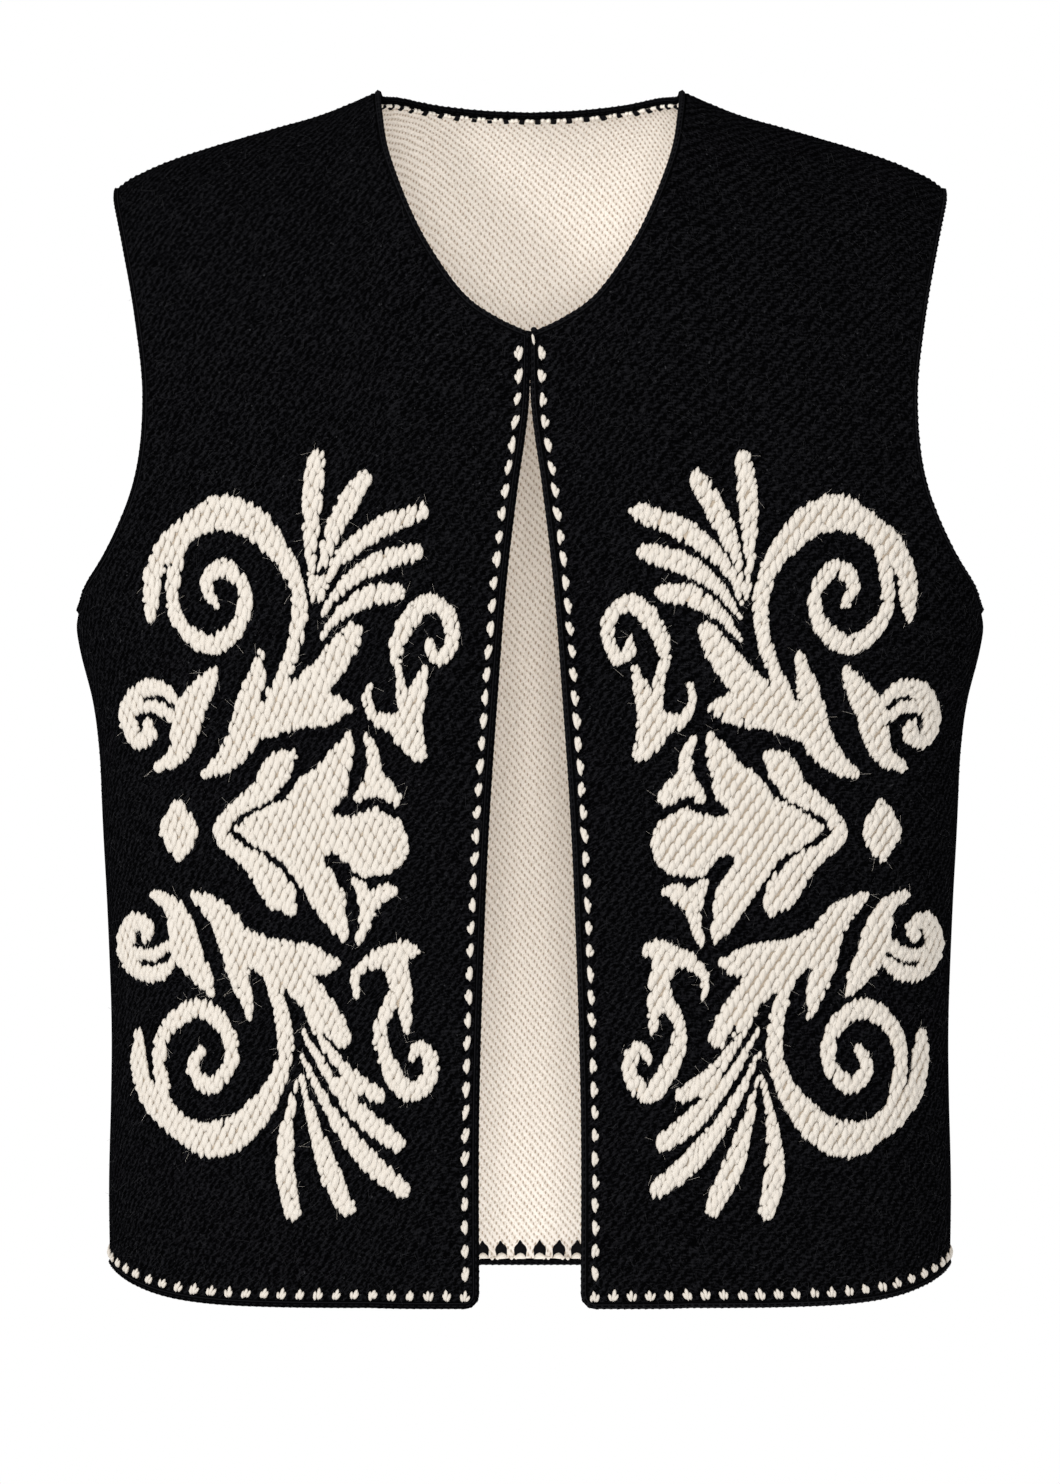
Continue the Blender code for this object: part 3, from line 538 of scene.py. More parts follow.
def motifBorder(cells):
    # The edges with the ornament on one side only
    uses = {}
    for cell, inMotif in cells:
        if inMotif:
            for a, b in zip(cell, cell[1:] + cell[:1]):
                key = (min(a, b), max(a, b))
                uses[key] = uses.get(key, 0) + 1
    return np.array([key for key, times in uses.items() if times == 1])


def clothPanel(name, shape, loop, outlines, side):
    print("panel", name)
    count = len(loop)
    step = panels["groundStep"]
    points = [loop]
    faces = [list(range(count))]
    total = count
    ground = gridInside(loop, step, step * panels["groundMargin"])
    if outlines:
        rim = np.vstack(outlines)
        near = nearest(ground, rim, rim + 1e-9) < step * panels["motifMargin"]
        ground = ground[~near]
        for outline in outlines:
            faces.append(list(range(total, total + len(outline))))
            points.append(outline)
            total += len(outline)
    points.append(ground)
    places, cells = trianglesOf(np.vstack(points), faces)
    lift = np.zeros(len(places))
    edgePoints = set()
    if outlines:
        border = motifBorder(cells)
        edgePoints = set(border.ravel())
        inMotif = np.array(sorted({v for cell, owned in cells if owned for v in cell} - edgePoints))
        deep = nearest(places[inMotif], places[border[:, 0]], places[border[:, 1]])
        lift[inMotif] = panels["bedRise"] * np.minimum(deep / panels["bedShoulder"], 1) ** 0.5
    vertices = clothPoint(shape, places, lift)
    triangles = [tuple(cell) for cell, _ in cells]
    # Slot 1, the bed inside the ornament, is painted as the shade between the stitches
    slots = [1 if owned and not edgePoints.intersection(cell) else 0 for cell, owned in cells]
    lining = gridInside(loop, panels["liningStep"], panels["liningStep"] * panels["liningMargin"])
    liningPlaces, liningCells = trianglesOf(np.vstack([loop, lining]), [list(range(count))])
    start = len(vertices)
    inside = np.full(len(liningPlaces), -cut["cloth"])
    vertices = np.vstack([vertices, clothPoint(shape, liningPlaces, inside)])
    triangles += [tuple(start + v for v in reversed(cell)) for cell, _ in liningCells]
    slots += [2] * len(liningCells)
    for i in range(count):
        j = (i + 1) % count
        triangles += [(j, i, start + i), (j, start + i, start + j)]
        slots += [0, 0]
    if side * shape.facing > 0:
        triangles = [tuple(reversed(cell)) for cell in triangles]
    mesh = newMesh(name, placed(vertices, side).tolist(), triangles)
    mesh.polygons.foreach_set("material_index", slots)
    clothMap = mesh.uv_layers.new(name="cloth")
    flatPlaces = np.vstack([places, liningPlaces]) * [side, 1]
    corner = np.zeros(len(mesh.loops), dtype=np.int32)
    mesh.loops.foreach_get("vertex_index", corner)
    clothMap.data.foreach_set("uv", flatPlaces[corner].ravel())
    for material in ("blackWool", "shadedBed", "creamReverse"):
        mesh.materials.append(materials[material])
    mesh.shade_smooth()
    mesh.set_sharp_from_angle(angle=math.radians(panels["sharpAngle"]))
    return addObject(name, mesh)


def addObject(name, mesh):
    thing = bpy.data.objects.new(name, mesh)
    bpy.context.scene.collection.objects.link(thing)
    return thing


# Shader maths
class Shade:
    def __init__(self, tree, socket=None):
        self.tree, self.socket = tree, socket

    def node(self, kind, settings, values, output=0):
        made = self.tree.nodes.new(kind)
        for key, value in settings.items():
            setattr(made, key, value)
        for key, value in values.items():
            if isinstance(value, Shade):
                self.tree.links.new(value.socket, made.inputs[key])
            else:
                made.inputs[key].default_value = value
        return Shade(self.tree, made.outputs[output])

    def maths(self, operation, first, second=0.0):
        return self.node("ShaderNodeMath", {"operation": operation}, {0: first, 1: second})

    def __add__(self, other):
        return self.maths("ADD", self, other)

    def __sub__(self, other):
        return self.maths("SUBTRACT", self, other)

    def __rsub__(self, other):
        return self.maths("SUBTRACT", other, self)

    def __mul__(self, other):
        return self.maths("MULTIPLY", self, other)

    __radd__ = __add__
    __rmul__ = __mul__

    def sine(self):
        return self.maths("SINE", self)

    def power(self, exponent):
        return self.maths("POWER", self, exponent)

    def between(self, low, high):
        return self.node("ShaderNodeMapRange", {"interpolation_type": "SMOOTHSTEP"},
                         {"Value": self, "From Min": low, "From Max": high})

    def mix(self, colourA, colourB):
        return self.node("ShaderNodeMix", {"data_type": "RGBA"}, {0: self, 6: colourA, 7: colourB}, 2)

    def part(self, axis):
        return self.node("ShaderNodeSeparateXYZ", {}, {0: self}, axis)

    def noise(self, scale, detail=2.0, roughness=0.5):
        return self.node("ShaderNodeTexNoise", {}, {"Vector": self, "Scale": scale, "Detail": detail,
                                                    "Roughness": roughness})

    def wave(self, pitch):
        # From 0 to 1 and back over each pitch
        return (self * (2 * math.pi / pitch)).sine() * 0.5 + 0.5


def startMaterial(name, look):
    material = bpy.data.materials.new(name)
    material.use_nodes = True
    tree = material.node_tree
    shader = tree.nodes["Principled BSDF"]
    for socket, value in look.items():
        shader.inputs[socket].default_value = value
    return material, Shade(tree), shader


def objectPlace(shade):
    return shade.node("ShaderNodeTexCoord", {}, {}, 3)


def clothAxes(shade, angle):
    # Millimetres along and across lines that run at this angle over the cloth
    place = shade.node("ShaderNodeUVMap", {"uv_map": "cloth"}, {})
    around, rise = place.part(0) * 1000, place.part(1) * 1000
    c, s = math.cos(math.radians(angle)), math.sin(math.radians(angle))
    return around * c + rise * s, rise * c - around * s


def finishMaterial(material, shader, colour, height, bump):
    strength, distance = bump
    relief = height.node("ShaderNodeBump", {}, {"Strength": strength, "Distance": distance,
                                                "Height": height})
    for shade, socket in ((colour, "Base Color"), (relief, "Normal")):
        shade.tree.links.new(shade.socket, shader.inputs[socket])
    return material


blackWool = {
    "ribAngle": 54.0,
    "ribPitch": 3.7,
    "knotSlant": (0.8, 1.3),   # along and across the ribs
    "knotPitch": 2.3,
    "drift": (130.0, 5.0),     # scale, and mm that the ribs stray
    "curlScale": 620.0,
    "napScale": 1700.0,
    "lintScale": 520.0,
    "lintShare": 0.8,
    # shares of the relief
    "rib": 0.10,
    "knot": 0.34,
    "curl": 0.48,
    "nap": 0.28,
    "contrast": 1.3,
    # colours of the relief's valleys and ridges: the darker valleys are painted shade
    "valley": (0.0005, 0.0005, 0.0006, 1),
    "ridge": (0.0064, 0.0064, 0.0074, 1),
    "lint": (0.026, 0.026, 0.028, 1),
    "bump": (0.8, 0.0009),
    "look": {"Roughness": 1.0, "Specular IOR Level": 0.0},
}


def makeBlackWool():
    wool = blackWool
    material, shade, shader = startMaterial("blackWool", wool["look"])
    along, across = clothAxes(shade, wool["ribAngle"])
    place = objectPlace(shade)
    across = across + (place.noise(wool["drift"][0]) - 0.5) * wool["drift"][1]
    rib = across.wave(wool["ribPitch"])
    knot = (along * wool["knotSlant"][0] + across * wool["knotSlant"][1]).wave(wool["knotPitch"])
    curl = place.noise(wool["curlScale"], roughness=0.7).between(0.34, 0.68)
    nap = place.noise(wool["napScale"], 1.0)
    height = rib * wool["rib"] + knot * rib * wool["knot"] + curl * wool["curl"] + nap * wool["nap"]
    lint = place.noise(wool["lintScale"]).between(0.70, 0.80)
    # The colour follows the relief, darker in its valleys and lighter on its ridges, as painted shade;
    # lint specks lie over it
    tone = height.between(0.2, 1.0).power(wool["contrast"]).mix(wool["valley"], wool["ridge"])
    colour = (lint * wool["lintShare"]).mix(tone, wool["lint"])
    return finishMaterial(material, shader, colour, height, wool["bump"])


creamReverse = {
    "rowAngle": 129.0,
    "rowPitch": 3.1,
    "dotSlant": 0.7,
    "dotPitch": 2.3,
    "drift": (120.0, 2.0),     # scale, and mm that the rows stray
    "patchScale": 300.0,
    "curlScale": 900.0,
    "meshScale": 1500.0,
    "light": (0.79, 0.735, 0.675, 1),
    "shade": (0.57, 0.505, 0.43, 1),
    "dot": (0.34, 0.265, 0.195, 1),
    "dotShare": 0.9,
    "dotCurl": (0.9, 1.2),     # how far the two noises break up the dots
    "dotRange": (0.5, 0.88),
    # shares of the relief
    "row": 0.3,
    "step": 0.2,
    "curl": 0.8,
    "hole": 0.4,
    # row, curl and mesh in the tone, and the range that it spans
    "tone": (0.22, 0.75, 0.75),
    "toneRange": (0.5, 1.1),
    "bump": (0.6, 0.0008),
    "look": {"Roughness": 0.92, "Specular IOR Level": 0.15, "Sheen Weight": 0.05,
             "Sheen Roughness": 0.5},
}


def makeCreamReverse():
    wool = creamReverse
    material, shade, shader = startMaterial("creamReverse", wool["look"])
    along, across = clothAxes(shade, wool["rowAngle"])
    place = objectPlace(shade)
    across = across + (place.noise(wool["drift"][0]) - 0.5) * wool["drift"][1]
    row = across.wave(wool["rowPitch"])
    step = (along + across * wool["dotSlant"]).wave(wool["dotPitch"])
    patchy = place.noise(wool["patchScale"])
    curl = place.noise(wool["curlScale"], roughness=0.7)
    broken = patchy * wool["dotCurl"][0] + curl * wool["dotCurl"][1]
    dot = ((1 - row) * (1 - step) * broken).between(*wool["dotRange"])
    height = row * wool["row"] + step * wool["step"] + curl * wool["curl"] - dot * wool["hole"]
    mesh = place.noise(wool["meshScale"], 1.0)
    ofRow, ofCurl, ofMesh = wool["tone"]
    ground = (row * ofRow + curl * ofCurl + mesh * ofMesh).between(*wool["toneRange"])
    colour = (dot * wool["dotShare"]).mix(ground.mix(wool["shade"], wool["light"]), wool["dot"])
    return finishMaterial(material, shader, colour, height, wool["bump"])


# pale and deep: a yarn's colours on a strand's top and at its foot, where the deep colour is painted
# shade; the fibre and each strand's tone also move between them
yarns = {
    "creamYarn": {
        "pale": (0.435, 0.402, 0.358, 1),
        "deep": (0.325, 0.27, 0.21, 1),
        "look": {"Roughness": 0.85, "Specular IOR Level": 0.12, "Sheen Weight": 0.05,
                 "Sheen Roughness": 0.5},
    },
    # A lighter copy of the cream yarn for the scallops and loops inside, where less light reaches:
    # painted light
    "reverseYarn": {
        "pale": (0.70, 0.65, 0.58, 1),
        "deep": (0.48, 0.42, 0.35, 1),
        "look": {"Roughness": 0.9, "Specular IOR Level": 0.1},
    },
    # The padding under the embroidery: dark tan, painted as the shade between the stitches
    "shadedBed": {
        "pale": (0.40, 0.345, 0.28, 1),
        "deep": (0.31, 0.255, 0.195, 1),
        "look": {"Roughness": 0.95, "Specular IOR Level": 0.1},
    },
    "greyHair": {
        "pale": (0.022, 0.022, 0.024, 1),
        "deep": (0.004, 0.004, 0.005, 1),
        "look": {"Roughness": 0.8, "Specular IOR Level": 0.1},
    },
    "blackYarn": {
        "pale": (0.0056, 0.0056, 0.0064, 1),
        "deep": (0.0005, 0.0005, 0.0006, 1),
        "look": {"Roughness": 1.0, "Specular IOR Level": 0.0},
    },
}
yarnFibre = {
    "stretch": (2.5, 14.0),    # of the fibres' pattern, along a strand and round it
    "spiral": 4.0,
    "variety": 40.0,           # between strands
    "napScale": 1600.0,
    "relief": (0.7, 0.35),     # shares of fibre and nap
    "crown": (0.38, 0.86),     # where a strand goes from its foot, darkened as painted shade, to its pale top
    "tone": (0.62, 0.32, 0.1), # shares of crown, which paints shade at a strand's foot, relief and each strand's own tone
    "bump": (0.5, 0.0004),
}


def makeYarn(name):
    settings = yarns[name]
    material, shade, shader = startMaterial(name, settings["look"])
    strand = shade.node("ShaderNodeUVMap", {"uv_map": "yarn"}, {})
    lengthwise, girth = strand.part(0), strand.part(1)
    tone = shade.node("ShaderNodeAttribute", {"attribute_name": "tone"}, {}, 2)
    along, around = yarnFibre["stretch"]
    spiral = shade.node("ShaderNodeCombineXYZ", {}, {
        0: lengthwise * along,
        1: girth * around + lengthwise * yarnFibre["spiral"],
        2: tone * yarnFibre["variety"]})
    fibre = spiral.noise(1.0).between(0.3, 0.7)
    crown = girth.wave(1.0)    # 1 on top of a strand, 0 where it meets the cloth
    ofFibre, ofNap = yarnFibre["relief"]
    height = fibre * ofFibre + objectPlace(shade).noise(yarnFibre["napScale"]) * ofNap
    ofCrown, ofHeight, ofTone = yarnFibre["tone"]
    # Each strand is painted darker towards its foot and pale on top, as painted shade; the fibre relief
    # and each strand's own tone add real colour
    shadeAndFibre = crown.between(*yarnFibre["crown"]) * ofCrown + height * ofHeight + tone * ofTone
    colour = shadeAndFibre.between(0.0, 1.0).mix(settings["deep"], settings["pale"])
    return finishMaterial(material, shader, colour, height, yarnFibre["bump"])


def unitObject(name, vertices, faces, mapAt):
    mesh = newMesh(name, vertices, faces)
    yarnMap = mesh.uv_layers.new(name="yarn")
    for face in mesh.polygons:
        for corner, v in zip(face.loop_indices, face.vertices):
            yarnMap.data[corner].uv = mapAt(v, face)
    mesh.shade_smooth()
    return bpy.data.objects.new(name, mesh)


# One plump stitch of two-ply yarn, one unit long, wide and high, along X
plyDepth = 0.17


def yarnUnit(name, sides, stations, fullness=0.72):
    vertices, maps = [(-0.5, 0, 0)], [(0.0, 0.0)]
    for share in np.linspace(0, 1, stations + 2)[1:-1]:
        girth = 0.5 * math.sin(math.pi * share) ** fullness
        for k in range(sides):
            turn = 2 * math.pi * k / sides
            ply = girth * (1 + plyDepth * math.cos(2 * (turn - math.pi * share)))
            vertices.append((share - 0.5, ply * math.cos(turn), ply * math.sin(turn)))
            maps.append((share, k / sides))
    vertices.append((0.5, 0, 0))
    maps.append((1.0, 0.0))
    faces = []
    for k in range(sides):
        n = (k + 1) % sides
        faces.append((0, 1 + n, 1 + k))
        for ring in range(stations - 1):
            a, b = 1 + ring * sides, 1 + (ring + 1) * sides
            faces.append((a + k, a + n, b + n, b + k))
        a = 1 + (stations - 1) * sides
        faces.append((a + k, a + n, len(vertices) - 1))

    def mapAt(v, face):
        wraps = any(w >= 1 and (w - 1) % sides == sides - 1 for w in face.vertices)
        along, around = maps[v]
        return along, 1.0 if wraps and around == 0 else around

    return unitObject(name, vertices, faces, mapAt)


# A low dome on an outline, one unit long along X and one wide
def domeUnit(name, outline):
    rim = np.array(outline)
    count = len(rim)
    middle = rim.mean(axis=0)
    rings = [(rim, -0.5), (middle + (rim - middle) * 0.96, 0.1), (middle + (rim - middle) * 0.7, 0.42)]
    vertices = [(x, y, z) for ring, z in rings for x, y in ring] + [(*middle, 0.5)]
    faces = []
    for r in (0, count):
        for k in range(count):
            n = (k + 1) % count
            faces.append((r + k, r + n, r + count + n, r + count + k))
    faces += [(2 * count + k, 2 * count + (k + 1) % count, 3 * count) for k in range(count)]
    faces.append(tuple(range(count))[::-1])
    # Mapped near a strand's top, so the yarn materials give the domes their pale top colour rather than
    # the painted shade of a strand's foot
    return unitObject(name, vertices, faces,
                      lambda v, face: (vertices[v][0] + 0.5, 0.25 + 0.2 * vertices[v][1]))


# Geometry Nodes lay copies of one stitch at marked points
def stitchTree():
    tree = bpy.data.node_groups.new("layStitches", "GeometryNodeTree")
    inputs = {}
    for name, kind in (("Geometry", "Geometry"), ("Stitch", "Object"), ("Yarn", "Material"),
                       ("Turn", "Float"), ("Unevenness", "Float"), ("Seed", "Int")):
        socket = tree.interface.new_socket(name=name, in_out="INPUT", socket_type="NodeSocket" + kind)
        inputs[name] = socket.identifier
    tree.interface.new_socket(name="Geometry", in_out="OUTPUT", socket_type="NodeSocketGeometry")

    def add(kind, settings, values, output=0):
        made = tree.nodes.new(kind)
        for key, value in settings.items():
            setattr(made, key, value)
        for key, value in values.items():
            if isinstance(value, bpy.types.NodeSocket):
                tree.links.new(value, made.inputs[key])
            else:
                made.inputs[key].default_value = value
        return made.outputs[output]

    def maths(operation, first, second):
        return add("ShaderNodeMath", {"operation": operation}, {0: first, 1: second})

    def anyFrom(low, high):
        return add("FunctionNodeRandomValue", {"data_type": "FLOAT"},
                   {2: low, 3: high, "Seed": given["Seed"]}, 1)

    given = tree.nodes.new("NodeGroupInput").outputs
    marks = {name: add("GeometryNodeInputNamedAttribute", {"data_type": "FLOAT_VECTOR"}, {"Name": name})
             for name in ("along", "up", "size")}
    turned = add("FunctionNodeAxesToRotation", {"primary_axis": "Z", "secondary_axis": "X"},
                 {0: marks["up"], 1: marks["along"]})
    share = anyFrom(maths("SUBTRACT", 1.0, given["Unevenness"]), maths("ADD", 1.0, given["Unevenness"]))
    size = add("ShaderNodeVectorMath", {"operation": "SCALE"}, {0: marks["size"], "Scale": share})
    unit = add("GeometryNodeObjectInfo", {"transform_space": "ORIGINAL"}, {0: given["Stitch"]},
               "Geometry")
    laid = add("GeometryNodeInstanceOnPoints", {}, {"Points": given["Geometry"], "Instance": unit,
                                                    "Rotation": turned, "Scale": size})
    swing = anyFrom(maths("MULTIPLY", given["Turn"], -1.0), given["Turn"])
    swung = add("GeometryNodeRotateInstances", {},
                {0: laid, "Rotation": add("ShaderNodeCombineXYZ", {}, {"Z": swing})})
    whole = add("GeometryNodeRealizeInstances", {}, {0: swung})
    dyed = add("GeometryNodeSetMaterial", {}, {"Geometry": whole, "Material": given["Yarn"]})
    tree.links.new(dyed, tree.nodes.new("NodeGroupOutput").inputs[0])
    return tree, inputs


layStitches, stitchInputs = stitchTree()


def layYarn(name, rows, unit, material, turn, unevenness, seed):
    # rows: place, direction of the yarn, direction away from the cloth, size, tone
    marks = bpy.data.meshes.new(name + "Marks")
    marks.from_pydata([tuple(row[0]) for row in rows], [], [])
    for index, key in ((1, "along"), (2, "up"), (3, "size")):
        values = np.array([row[index] for row in rows], dtype=np.float32)
        marks.attributes.new(key, "FLOAT_VECTOR", "POINT").data.foreach_set("vector", values.ravel())
    tones = np.array([row[4] for row in rows], dtype=np.float32)
    marks.attributes.new("tone", "FLOAT", "POINT").data.foreach_set("value", tones)
    holder = addObject(name + "Holder", marks)
    modifier = holder.modifiers.new("stitches", "NODES")
    modifier.node_group = layStitches
    for key, value in (("Stitch", unit), ("Yarn", material), ("Turn", turn),
                       ("Unevenness", unevenness), ("Seed", seed)):
        modifier[stitchInputs[key]] = value
    bpy.context.view_layer.update()
    graph = bpy.context.evaluated_depsgraph_get()
    mesh = bpy.data.meshes.new_from_object(holder.evaluated_get(graph))
    bpy.data.objects.remove(holder)
    bpy.data.meshes.remove(marks)
    mesh.name = name
    for extra in ("along", "up", "size"):
        if extra in mesh.attributes:
            mesh.attributes.remove(mesh.attributes[extra])
    mesh.shade_smooth()
    triangles = sum(len(face.vertices) - 2 for face in mesh.polygons)
    print("yarn", name, len(rows), "stitches,", triangles, "triangles")
    return addObject(name, mesh)


def clothFrame(shape, places, directions):
    # The cloth's outward direction at each place, and a direction drawn on the cloth
    drawn = shape.outer(places + directions * mm) - shape.outer(places - directions * mm)
    return shape.normal(places), normalised(drawn)


def sewnFrame(shape, places, directions, lift, side):
    # The same on its own side, after the lifted places themselves
    normal, drawn = clothFrame(shape, places, directions)
    solid = placed(clothPoint(shape, places, np.full(len(places), lift)), side)
    return solid, mirrored(normal, side), mirrored(drawn, side)


# Embroidery
embroidery = {
    "columnAngle": 61.0,       # chains of stitches rise to the viewer's right
    "lean": 17.0,              # degrees that a stitch stands steeper than its chain
    "tilt": 7.0,               # degrees that each stitch rises over the last
    "shift": 0.463,            # of a step, between neighbouring chains
    "seed": 5,
    "looseAlong": 0.07,        # of a step
    "looseAcross": 0.06,       # of a pitch
    "looseTurn": 3.5,
    "widths": (0.92, 1.08),
    "fill": 1.06,              # a stitch is drawn this much longer than its place
    "samples": 17,             # tried along each stitch
    "room": 6 * mm,            # stitches centred further out are left out at once
    # plump stitches over the middle of each shape
    "field": {
        "pitch": 4.1 * mm,
        "step": 5.5 * mm,
        "reach": 4.9 * mm,
        "width": 4.2 * mm,
        "height": 2.7 * mm,
        "lift": 1.0 * mm,
        "overhang": (-0.3 * mm, 0.6 * mm),
        "shortest": 4.2 * mm,
        "clear": 0.9 * mm,     # room it needs on either side
        "within": None,
    },
    # finer strands along the outlines
    "rim": {
        "pitch": 2.3 * mm,
        "step": 5.0 * mm,
        "reach": 3.9 * mm,
        "width": 2.9 * mm,
        "height": 2.3 * mm,
        "lift": 0.7 * mm,
        "overhang": (0.2 * mm, 1.7 * mm),
        "shortest": 1.3 * mm,
        "clear": 0.35 * mm,
        "within": 4.2 * mm,    # of an outline
    },
}


def nearRim(places, outlines, distance):
    turns = np.linspace(0, 2 * math.pi, 10)[:-1]
    around = places[:, None, :] + distance * unitVectors(turns)
    return ~insideAny(around.reshape(-1, 2), outlines).reshape(len(places), -1).all(axis=1)


def embroideryRows(outlines, side, layer):
    pick = np.random.default_rng(embroidery["seed"] + (side > 0))

    def loose(key):
        return pick.uniform(-embroidery[key], embroidery[key])

    everything = np.vstack(outlines)
    low, high = everything.min(axis=0), everything.max(axis=0)
    middle = (low + high) / 2
    angle, lean = math.radians(embroidery["columnAngle"]), math.radians(embroidery["lean"])
    if side < 0:
        angle, lean = math.pi - angle, -lean
    column = np.array([math.cos(angle), math.sin(angle)])
    across = np.array([-column[1], column[0]])
    span = np.linalg.norm(high - low) / 2
    places, turns = [], []
    for c in range(int(-span / layer["pitch"]), int(span / layer["pitch"]) + 1):
        for k in range(int(-span / layer["step"]) - 1, int(span / layer["step"]) + 1):
            shift = (c * embroidery["shift"]) % 1.0
            along = (k + shift + loose("looseAlong")) * layer["step"]
            sideways = (c + loose("looseAcross")) * layer["pitch"]
            places.append(middle + column * along + across * sideways)
            turns.append(angle + lean + math.radians(loose("looseTurn")))
    places, turns = np.array(places), np.array(turns)
    room = embroidery["room"]
    near = ((places > low - room) & (places < high + room)).all(axis=1)
    if layer["within"]:
        near[near] = nearRim(places[near], outlines, layer["within"])
    places, turns = places[near], turns[near]
    direction = unitVectors(turns)
    beside = leftOf(direction)
    shares = np.linspace(-1, 1, embroidery["samples"])
    covered = np.ones((len(places), len(shares)), dtype=bool)
    for offset in (-layer["clear"], 0.0, layer["clear"]):
        samples = (places[:, None, :] + direction[:, None, :] * (shares[:, None] * layer["reach"])
                   + beside[:, None, :] * offset)
        covered &= insideAny(samples.reshape(-1, 2), outlines).reshape(covered.shape)
    centres, lengths, kept = [], [], []
    for i, row in enumerate(covered):
        runs = np.flatnonzero(np.diff(np.concatenate([[0], row.astype(int), [0]])))
        for start, stop in zip(runs[::2], runs[1::2]):
            first, last = shares[start] * layer["reach"], shares[stop - 1] * layer["reach"]
            whole = last - first
            if whole < layer["shortest"]:
                continue
            before, after = 0.0, 0.0
            if whole < 2 * layer["reach"] - mm:
                before, after = pick.uniform(*layer["overhang"], 2)
            kept.append(i)
            centres.append(places[i] + direction[i] * (first + last + after - before) / 2)
            lengths.append(whole + before + after)
    centres = np.array(centres)
    solid, normal, drawn = sewnFrame(front, centres, direction[kept], layer["lift"], side)
    tilt = math.radians(embroidery["tilt"])
    rise, run = math.sin(tilt), math.cos(tilt)
    normal, drawn = normal * run - drawn * rise, drawn * run + normal * rise
    rows = []
    for i, length in enumerate(lengths):
        width = layer["width"] * pick.uniform(*embroidery["widths"])
        size = (length * embroidery["fill"], width, layer["height"])
        rows.append((solid[i], drawn[i], normal[i], size, pick.uniform()))
    return rows


def loopArea(loop):
    return abs(signedArea(loop))


# Loose hairs of the wool
fuzz = {
    "hairs": 2200,             # over each front; the back has as many for its area
    "rimHairs": 650,           # round the embroidery
    "length": (2.5 * mm, 6.0 * mm),
    "thick": 0.07 * mm,
    "bow": 1.1 * mm,
    "clear": 34 * mm,          # none this near a side or shoulder, where they would stand out
    "slope": (2, 25),          # degrees off the cloth
    "arch": 0.7,               # of a half turn, that a hair bows through
    "flatness": 0.04,
    "alongRim": 0.5 * mm,      # spread of the hairs round the embroidery
    "seed": 21,
}


def hairUnit(name):
    vertices, faces = [], []
    for step, share in enumerate(np.linspace(0, 1, 4)):
        for k in range(3):
            turn = 2 * math.pi * k / 3
            bow = 0.5 * math.sin(math.pi * fuzz["arch"] * share)
            vertices.append((share, 0.5 * math.cos(turn), fuzz["flatness"] * math.sin(turn) + bow))
            if step:
                n = (k + 1) % 3
                faces.append((3 * step - 3 + k, 3 * step - 3 + n, 3 * step + n, 3 * step + k))
    return unitObject(name, vertices, faces, lambda v, face: (0.5, 0.2))


def hairRows(shape, places, side, pick):
    inside = np.abs(places[:, 0]) < shape.girth[-1] - fuzz["clear"]
    places = places[inside & (places[:, 1] < -fuzz["clear"])]
    turn = pick.uniform(0, 2 * math.pi, len(places))
    solid, normal, drawn = sewnFrame(shape, places, unitVectors(turn), 0.0, side)
    slope = np.radians(pick.uniform(*fuzz["slope"], len(places)))[:, None]
    along = drawn * np.cos(slope) + normal * np.sin(slope)
    up = normal * np.cos(slope) - drawn * np.sin(slope)
    length = pick.uniform(*fuzz["length"], len(places))
    return [(solid[i], along[i], up[i], (length[i], fuzz["thick"], fuzz["bow"]), pick.uniform())
            for i in range(len(places))]


def scattered(loop, count, pick):
    low, high = loop.min(axis=0), loop.max(axis=0)
    tried = pick.uniform(low, high, (int(count * (high - low).prod() / loopArea(loop)), 2))
    return tried[insideLoop(tried, loop)]


def rimPlaces(outlines, count, pick):
    rim = np.vstack(outlines)
    chosen = rim[pick.integers(0, len(rim), count)]
    return chosen + pick.normal(0, fuzz["alongRim"], chosen.shape)


# Running stitches and the teeth on the reverse. A pattern holds, for each strand of one
# stitch, mm along the line, mm into the cloth, its turn and its share of the length
runningStitch = {
    "fromEdge": 5.5 * mm,      # at the neck; it widens on the way down
    "widening": 1.6 * mm,
    "belowNeck": 7.0 * mm,
    "fromHem": 6.4 * mm,
    "seed": 11,
    "edge": {
        "spacing": 11.3 * mm,
        "pattern": ((0.0, -0.4, 8, 1.0), (0.9, 0.95, -18, 0.5), (-1.6, 0.25, 8, 0.5)),
        "strand": (8.1 * mm, 2.8 * mm, 2.3 * mm),
        "lift": 0.3 * mm,
        "scatter": 1.0,
        "fray": 8.0,           # degrees that a strand may stray
    },
    "hem": {
        "spacing": 8.9 * mm,
        "pattern": ((0.0, 0.35, 90, 1.15), (-1.35, -0.4, 105, 0.85), (1.4, -0.35, 73, 0.85)),
        "strand": (5.0 * mm, 2.2 * mm, 2.0 * mm),
        "lift": 0.3 * mm,
        "scatter": 1.0,
        "fray": 12.0,
    },
}

